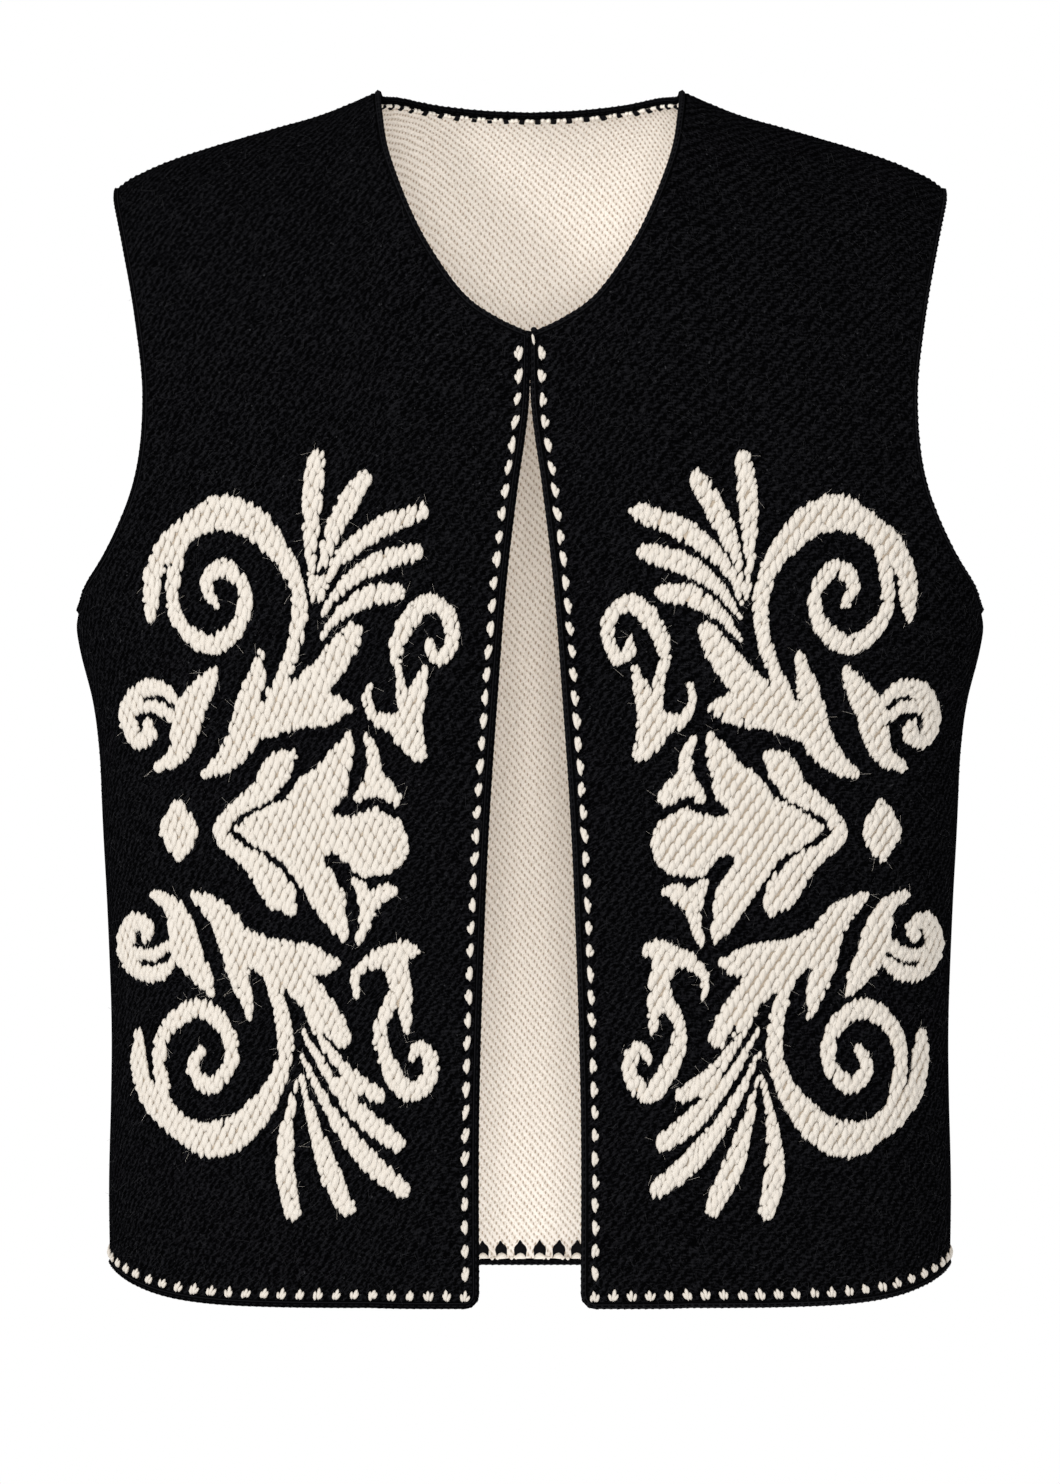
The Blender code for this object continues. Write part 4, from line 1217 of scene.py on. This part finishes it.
reverseTeeth = {
    "hemSpacing": 9.8 * mm,
    "neckSpacing": 8.0 * mm,
    "neckRoom": (5 * mm, 4 * mm),
    "frontStart": 9 * mm,      # from the front edge to the first tooth
    "seed": 2,
    "tooth": {
        "pattern": ((0.0, 8.7, 90, 1.0),),
        "strand": (9.4 * mm, 6.9 * mm, 1.9 * mm),
        "lift": -cut["cloth"] - 0.2 * mm,
        "scatter": 0.3,
        "fray": 8,
    },
    "scallop": {
        "pattern": ((0.0, 5.2, 90, 1.0),),
        "strand": (3.5 * mm, 5.9 * mm, 3.2 * mm),
        "lift": -cut["cloth"] - 0.5 * mm,
        "scatter": 0.2,
        "fray": 8,
    },
    # cream loops that overlap an edge between its teeth
    "loops": {
        "pattern": ((2.5, 4.0, 262, 1.0), (4.9, 3.8, 275, 0.8)),
        "strand": (2.2 * mm, 2.7 * mm, 2.2 * mm),
        "lift": -cut["cloth"] - 0.4 * mm,
        "scatter": 1.0,
        "fray": 8,
    },
    "neckTooth": {
        "pattern": ((0.0, 4.9, 90, 1.0),),
        "strand": (3.2 * mm, 3.3 * mm, 2.0 * mm),
        "lift": -cut["cloth"] - 0.2 * mm,
        "scatter": 1.0,
        "fray": 8,
    },
}

# How much a strand strays: mm along and across, share of its length; and how it thins
looseStrand = {"along": 0.4, "across": 0.25, "length": 0.12, "thinning": 0.35}


def alongRun(shape, line, spacing, first, last=0.0, widening=0.0):
    # Places at even distances along a line on the cloth, and its directions there
    fineLine = evenSteps(shape, line, mm)
    run = runLengths(shape.outer(fineLine))
    at = np.linspace(first, run[-1] - last, round((run[-1] - first - last) / spacing) + 1)
    direction = normalised(pointsAlong(at + mm, run, fineLine) - pointsAlong(at - mm, run, fineLine))
    inward = leftOf(direction) * (at / run[-1] * widening)[:, None]
    return pointsAlong(at, run, fineLine) + inward, direction


def strands(shape, line, kind, side, pick):
    rows = []
    place, direction = line
    across = leftOf(direction)
    long, wide, high = kind["strand"]
    for ahead, beside, turn, length in kind["pattern"]:
        loose = pick.uniform(-1, 1, (len(place), 4)) * kind["scatter"]
        spot = (place + direction * (ahead * mm + loose[:, :1] * mm * looseStrand["along"])
                + across * (beside * mm + loose[:, 1:2] * mm * looseStrand["across"]))
        angle = np.radians(turn + loose[:, 2] * kind["fray"])[:, None]
        drawn = direction * np.cos(angle) + across * np.sin(angle)
        solid, normal, along = sewnFrame(shape, spot, drawn, kind["lift"], side)
        up = normal * (1 if kind["lift"] > 0 else -1)
        width = wide * length ** looseStrand["thinning"]
        for i in range(len(spot)):
            stretch = length * (1 + looseStrand["length"] * loose[i, 3])
            rows.append((solid[i], along[i], up[i], (long * stretch, width, high), pick.uniform()))
    return rows


def hemStitches(shape, line, first, side, pick):
    style = runningStitch["hem"]
    return strands(shape, alongRun(shape, line, style["spacing"], first), style, side, pick)


# Crocheted edging
crochet = {
    "spacing": 3.4 * mm,
    "bead": (4.8 * mm, 2.6 * mm, 3.8 * mm),
    "lean": 40.0,
    "sides": 8,
    "halfWidth": 1.85 * mm,
    "halfThick": 0.44,         # of the solids' edging
    "inward": 0.25 * mm,       # of the solids' edging
    "endRoom": 1.5 * mm,       # from the end of an open edging to its last bead
    "joint": 0.35 * mm,        # points nearer than this become one
    "closes": 1.1 * mm,        # ends nearer than this are one point
    "standOut": 0.4 * mm,      # how far the beads stand beyond the core's middle
    "overrun": 3.0 * mm,       # how far an open edging runs on past its cloth
}


def edgeLine(shape, run, side):
    middle = clothPoint(shape, run, np.full(len(run), -cut["cloth"] / 2))
    return placed(middle, side), mirrored(shape.normal(run), side)


def joinLines(parts):
    places = np.vstack([p for p, _ in parts])
    normals = np.vstack([n for _, n in parts])
    keep = [0]
    for i in range(1, len(places)):
        if np.linalg.norm(places[i] - places[keep[-1]]) > crochet["joint"]:
            keep.append(i)
    return places[keep], normals[keep]


def runOn(places, normals, ends):
    # Lengthens an open line past its ends, one share of the overrun for each
    for end, share in zip((0, -1), ends):
        if share:
            step = places[end] - places[1 if end == 0 else -2]
            extra = places[end] + step / np.linalg.norm(step) * crochet["overrun"] * share
            at = 0 if end == 0 else len(places)
            places = np.insert(places, at, extra, axis=0)
            normals = np.insert(normals, at, normals[end], axis=0)
    return places, normals


def edgingFrame(places, normals, away, closed):
    if closed:
        along = np.roll(places, -1, axis=0) - np.roll(places, 1, axis=0)
    else:
        along = np.gradient(places, axis=0)
    along = normalised(along)
    outward = normalised(np.cross(along, normals) * away)
    return along, outward, np.cross(outward, along)


def edgingTube(name, places, normals, away, closed):
    along, outward, normals = edgingFrame(places, normals, away, closed)
    sides, count = crochet["sides"], len(places)
    middle = places + outward * (cut["seamGap"] + cut["edgeWidth"] / 2 - crochet["inward"])
    vertices = []
    for k in range(sides):
        turn = 2 * math.pi * k / sides
        vertices.append(middle + outward * math.cos(turn) * crochet["halfWidth"]
                        + normals * math.sin(turn) * cut["edgeThick"] * crochet["halfThick"])
    vertices = np.stack(vertices, axis=1).reshape(-1, 3)
    faces = []
    for i in range(count if closed else count - 1):
        a, b = i * sides, ((i + 1) % count) * sides
        for k in range(sides):
            n = (k + 1) % sides
            faces.append((a + k, a + n, b + n, b + k))
    if not closed:
        faces.append(tuple(range(sides))[::-1])
        faces.append(tuple((count - 1) * sides + k for k in range(sides)))
    mesh = newMesh(name, vertices.tolist(), faces)
    mesh.update()
    if sum(p.center.dot(p.normal) * p.area for p in mesh.polygons) < 0:
        mesh.flip_normals()
    mesh.materials.append(materials["blackYarn"])
    mesh.uv_layers.new(name="yarn")
    mesh.shade_smooth()
    return addObject(name, mesh), (middle, along, outward, normals)


def beadRows(frameLines, closed, seed):
    middle, along, outward, normals = frameLines
    run = runLengths(middle)
    count = int(run[-1] / crochet["spacing"])
    if closed:
        at = np.linspace(0, run[-1], count + 1)[:-1]
    else:
        at = np.linspace(crochet["endRoom"], run[-1] - crochet["endRoom"], count)
    pick = np.random.default_rng(seed)
    lean = math.radians(crochet["lean"])
    spread = [pointsAlong(at, run, values) for values in (middle, along, outward, normals)]
    rows = []
    for place, ahead, out, up in zip(*spread):
        direction = ahead * math.cos(lean) + out * math.sin(lean)
        rows.append((place + out * crochet["standOut"], direction, up, crochet["bead"], pick.uniform()))
    return rows


def joinPieces(name, pieces):
    with bpy.context.temp_override(active_object=pieces[0], selected_editable_objects=pieces):
        bpy.ops.object.join()
    pieces[0].name = name
    return pieces[0]


materials = {"blackWool": makeBlackWool(), "creamReverse": makeCreamReverse()}
materials.update({name: makeYarn(name) for name in yarns})
print("materials made")

units = {
    "plumpStitch": yarnUnit("plumpStitch", 8, 6, 0.8),
    "rimStrand": yarnUnit("rimStrand", 6, 4, 0.85),
    "edgeBead": yarnUnit("edgeBead", 7, 4),
    "smallStrand": yarnUnit("smallStrand", 8, 5),
    "pointedTooth": domeUnit("pointedTooth", [
        (-0.5, -0.42), (-0.5, 0.42), (-0.05, 0.5), (0.14, 0.42), (0.3, 0.2), (0.5, 0.05),
        (0.5, -0.05), (0.3, -0.2), (0.14, -0.42), (-0.05, -0.5)]),
    "halfRound": domeUnit("halfRound", [(-0.5, -0.5), (-0.5, 0.5), (0.0, 0.44), (0.34, 0.26),
                                        (0.5, 0.0), (0.34, -0.26), (0.0, -0.44)]),
    "looseHair": hairUnit("looseHair"),
    "squareTooth": domeUnit("squareTooth", [(-0.5, -0.45), (-0.5, 0.45), (0.42, 0.5), (0.5, 0.0),
                                            (0.42, -0.5)]),
}

# Each kind of sewing: its unit, its yarn, how far it turns in radians, its unevenness
sewing = {
    "embroidery": ("plumpStitch", "creamYarn", 0.05, 0.05),
    "rim": ("rimStrand", "creamYarn", 0.06, 0.06),
    "running": ("smallStrand", "creamYarn", 0.1, 0.08),
    "teeth": ("pointedTooth", "blackYarn", 0.03, 0.04),
    "neckTeeth": ("squareTooth", "blackYarn", 0.05, 0.1),
    "scallops": ("halfRound", "reverseYarn", 0.03, 0.04),
    "greyHairs": ("looseHair", "greyHair", 0.2, 0.2),
    "paleHairs": ("looseHair", "creamYarn", 0.2, 0.2),
    "seam": ("smallStrand", "blackYarn", 0.06, 0.05),
    "knob": ("plumpStitch", "blackYarn", 0.0, 0.0),
    "tail": ("smallStrand", "creamYarn", 0.0, 0.0),
    "beads": ("edgeBead", "blackYarn", 0.12, 0.08),
}
sides = (("left", 1), ("right", -1))
runStep = 2 * mm    # of the lines that stitches follow

inset = cut["edgeWidth"] + cut["seamGap"]
frontRuns = frontOutline(inset, panels["outlineStep"])
backRuns = backOutline(inset, panels["outlineStep"])
frontLoop = closedLoop(frontRuns.values())
leftHalf = closedLoop(backRuns.values())
backLoop = np.vstack([leftHalf, [(-a, r) for a, r in leftHalf[::-1] if a > 1e-6]])
outlines = [strokeOutline(stroke) for stroke in allStrokes()]


def sew(name, kind, rows, seed):
    unit, yarn, turn, unevenness = sewing[kind]
    return layYarn(name, rows, units[unit], materials[yarn], turn, unevenness, seed)


def attach(pieces):
    for piece, slot in pieces:
        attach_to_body(piece, "root")


def hemTeeth(shape, finishedHem, side, first):
    # Black points with a cream half round at the foot of each, on the reverse
    pick = np.random.default_rng(reverseTeeth["seed"])
    line = alongRun(shape, finishedHem, reverseTeeth["hemSpacing"], first)
    teeth, scallops, loops = (strands(shape, line, reverseTeeth[kind], side, pick)
                              for kind in ("tooth", "scallop", "loops"))
    return teeth, scallops + loops


def frontStitches(side):
    # Down the edge and round to the side along the hem
    pick = np.random.default_rng(runningStitch["seed"] + side)
    edge = frontOutline(runningStitch["fromEdge"], runStep)["edge"]
    hem = frontOutline(runningStitch["fromHem"], runStep)["hem"]
    corner = np.array([edge[-1][0], hem[0][1]])
    style = runningStitch["edge"]
    line = alongRun(front, np.vstack([edge, corner]), style["spacing"], runningStitch["belowNeck"],
                    style["spacing"], runningStitch["widening"])
    rows = strands(front, line, style, side, pick)
    corner[0] += runningStitch["widening"]
    hemRun = np.vstack([corner, hem[hem[:, 0] > corner[0] + mm]])
    return rows + hemStitches(front, hemRun, 0.0, side, pick)


for word, side in sides:
    panel = clothPanel("frontCloth_" + word, front, frontLoop, outlines, side)
    yarn = sew("embroidery_" + word, "embroidery", embroideryRows(outlines, side, embroidery["field"]), 3)
    rim = sew("embroideryRim_" + word, "rim", embroideryRows(outlines, side, embroidery["rim"]), 4)
    running = sew("runningStitch_" + word, "running", frontStitches(side), 7)
    finishedHem = frontOutline(0.0, runStep)["hem"]
    teethRows, scallopRows = hemTeeth(front, finishedHem, side, reverseTeeth["frontStart"])
    teeth = sew("reverseTeeth_" + word, "teeth", teethRows, 8)
    scallops = sew("reverseScallops_" + word, "scallops", scallopRows, 8)
    pick = np.random.default_rng(fuzz["seed"] + side)
    hairs = hairRows(front, scattered(frontLoop, fuzz["hairs"], pick), side, pick)
    greyHairs = sew("looseHairs_" + word, "greyHairs", hairs, 30)
    hairs = hairRows(front, rimPlaces(outlines, fuzz["rimHairs"], pick), side, pick)
    paleHairs = sew("yarnHairs_" + word, "paleHairs", hairs, 31)
    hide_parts("front_" + word)
    attach([(panel, "black_wool"), (yarn, "cream_yarn"), (rim, "cream_yarn"), (running, "cream_yarn"),
            (teeth, "black_edging"), (scallops, "cream_yarn"), (greyHairs, "black_wool"),
            (paleHairs, "cream_yarn")])

panel = clothPanel("backCloth", back, backLoop, [], 1)
pick = np.random.default_rng(runningStitch["seed"])
runRows, hemRows, scallopRows, neckRows = [], [], [], []
finished = backOutline(0.0, runStep)
stitchedHem = backOutline(runningStitch["fromHem"], runStep)["hem"]
for _, side in sides:
    runRows += hemStitches(back, stitchedHem, runningStitch["hem"]["spacing"] / 2, side, pick)
    teeth, scallops = hemTeeth(back, finished["hem"], side, reverseTeeth["hemSpacing"] / 2)
    hemRows += teeth
    scallopRows += scallops
    line = alongRun(back, finished["neck"], reverseTeeth["neckSpacing"], *reverseTeeth["neckRoom"])
    neckRows += strands(back, line, reverseTeeth["neckTooth"], side, pick)
    scallopRows += strands(back, line, reverseTeeth["loops"], side, pick)
running = sew("runningStitch_back", "running", runRows, 9)
teeth = joinPieces("reverseTeeth_back", [sew("hemTeeth", "teeth", hemRows, 10),
                                         sew("neckTeeth", "neckTeeth", neckRows, 11)])
scallops = sew("reverseScallops_back", "scallops", scallopRows, 12)
pick = np.random.default_rng(fuzz["seed"])
backHairs = int(fuzz["hairs"] * loopArea(backLoop) / loopArea(frontLoop))
hairs = hairRows(back, scattered(backLoop, backHairs, pick), 1, pick)
greyHairs = sew("looseHairs_back", "greyHairs", hairs, 32)
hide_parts("back")
attach([(panel, "black_wool"), (running, "cream_yarn"), (teeth, "black_edging"),
        (scallops, "cream_yarn"), (greyHairs, "black_wool")])

# Black stitches close the side and shoulder seams
seam = {
    "spacing": 3.2 * mm,
    "pattern": ((0.0, 0.0, 0, 1.0),),
    "strand": (5.6 * mm, 2.0 * mm, 3.5 * mm),
    "lift": -cut["cloth"] / 2,
    "scatter": 0.0,
    "fray": 0,
    "seed": 17,
}
pick = np.random.default_rng(seam["seed"])
for word, side in sides:
    seamRows = []
    for run in (frontRuns["side"], frontRuns["shoulder"]):
        seamRows += strands(front, alongRun(front, run, seam["spacing"], mm, mm), seam, side, pick)
    attach([(sew("seam_" + word, "seam", seamRows, 14), "black_wool")])

# At the top of the opening: a knob that ends the neck edging, and a tail of cream yarn
neckEnd = {
    # kind of sewing, place, turn in degrees, size, lift, slot
    "neckKnob": ("knob", (1.9 * mm, -0.1277), 0.0, (3.2 * mm, 2.9 * mm, 2.9 * mm), 1.7 * mm,
                 "black_edging"),
    "yarnTail": ("tail", (1.6 * mm, -0.1325), 99.0, (6.0 * mm, 1.7 * mm, 1.5 * mm), 1.3 * mm,
                 "cream_yarn"),
}
for name, (kind, place, turn, size, lift, slot) in neckEnd.items():
    spot = front.toCloth([place])
    normal, drawn = clothFrame(front, spot, unitVectors(np.radians([turn])))
    solid = front.outer(spot) + normal * lift
    attach([(sew(name, kind, [(solid[0], drawn[0], normal[0], size, 0.5)], 1), slot)])

# Each edging: the lines it follows, which way is outward, whether it closes, its ends' overrun
edgings = {}
for word, side in sides:
    opening = np.vstack([frontRuns["edge"], frontRuns["corner"][1:], frontRuns["hem"][1:]])
    edgings["front_edging_" + word] = ([(front, opening, side)], side, False, (1, 0))
    edgings["armhole_edging_" + word] = ([(front, frontRuns["arm"], side),
                                          (back, backRuns["arm"][::-1], side)], side, True, (0, 0))
edgings["neck_edging"] = ([(front, frontRuns["neck"][::-1], -1), (back, backRuns["neck"], -1),
                           (back, backRuns["neck"][::-1], 1), (front, frontRuns["neck"], 1)],
                          1, False, (1, 1))
edgings["hem_edging_back"] = ([(back, backRuns["hem"][::-1], -1), (back, backRuns["hem"], 1)],
                              -1, False, (0, 0))
for seed, (node, (lines, away, closed, ends)) in enumerate(edgings.items()):
    places, normals = joinLines([edgeLine(*line) for line in lines])
    places, normals = runOn(places, normals, ends)
    if closed and np.linalg.norm(places[0] - places[-1]) < crochet["closes"]:
        places, normals = places[:-1], normals[:-1]
    tube, lineFrame = edgingTube("crochet_" + node, places, normals, away, closed)
    beads = sew("beads_" + node, "beads", beadRows(lineFrame, closed, seed), 20 + seed)
    piece = joinPieces("crochet_" + node, [tube, beads])
    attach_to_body(piece, "root")
    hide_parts(node)
print("edgings made")

for unit in units.values():
    bpy.data.objects.remove(unit)

studio = {
    "cameraDistance": 2.9,
    "cameraHeight": -0.3297,
    "lens": 138.7,
    "sensor": 36,
    "floor": -1.35,
    "floorReach": 3.0,
    # name: place, where it points, size, watts
    "lamps": {
        "front": ((0, -3.5, -0.30), (0, 0, -0.33), 0.65, 64),
        "upperLeft": ((-2.0, -2.2, 1.3), (0, 0, -0.3), 0.8, 72),
        "behindLeft": ((-2.0, 2.0, 0.8), (0, 0, -0.3), 1.4, 20),
        "behindRight": ((2.0, 2.0, 0.8), (0, 0, -0.3), 1.4, 20),
    },
    "ambient": 1.0,
}


def buildStudio():
    world = bpy.data.worlds.new("studio")
    world.use_nodes = True
    sky = world.node_tree.nodes["Background"]
    sky.inputs[0].default_value = (1, 1, 1, 1)
    sky.inputs[1].default_value = studio["ambient"]
    bpy.context.scene.world = world
    for name, (place, target, size, watts) in studio["lamps"].items():
        light = bpy.data.lights.new(name, "AREA")
        light.size = size
        light.energy = watts
        lamp = bpy.data.objects.new(name, light)
        lamp.location = place
        lamp.rotation_euler = (Vector(target) - Vector(place)).to_track_quat("-Z", "Y").to_euler()
        bpy.context.scene.collection.objects.link(lamp)
    camera = bpy.data.cameras.new("camera")
    camera.lens = studio["lens"]
    camera.sensor_width = studio["sensor"]
    holder = bpy.data.objects.new("camera", camera)
    holder.location = (0, -studio["cameraDistance"], studio["cameraHeight"])
    holder.rotation_euler = (math.pi / 2, 0, 0)
    bpy.context.scene.collection.objects.link(holder)
    bpy.context.scene.camera = holder
    bpy.context.scene.view_settings.view_transform = "Standard"
    reach = studio["floorReach"]
    corners = [(x * reach, y * reach, studio["floor"]) for x, y in ((-1, -1), (1, -1), (1, 1), (-1, 1))]
    floorMesh = newMesh("floor", corners, [(0, 1, 2, 3)])
    material, _, _ = startMaterial("paleFloor", {"Base Color": (0.9, 0.9, 0.9, 1), "Roughness": 0.8})
    floorMesh.materials.append(material)
    addObject("floor", floorMesh)


buildStudio()
print("studio built")
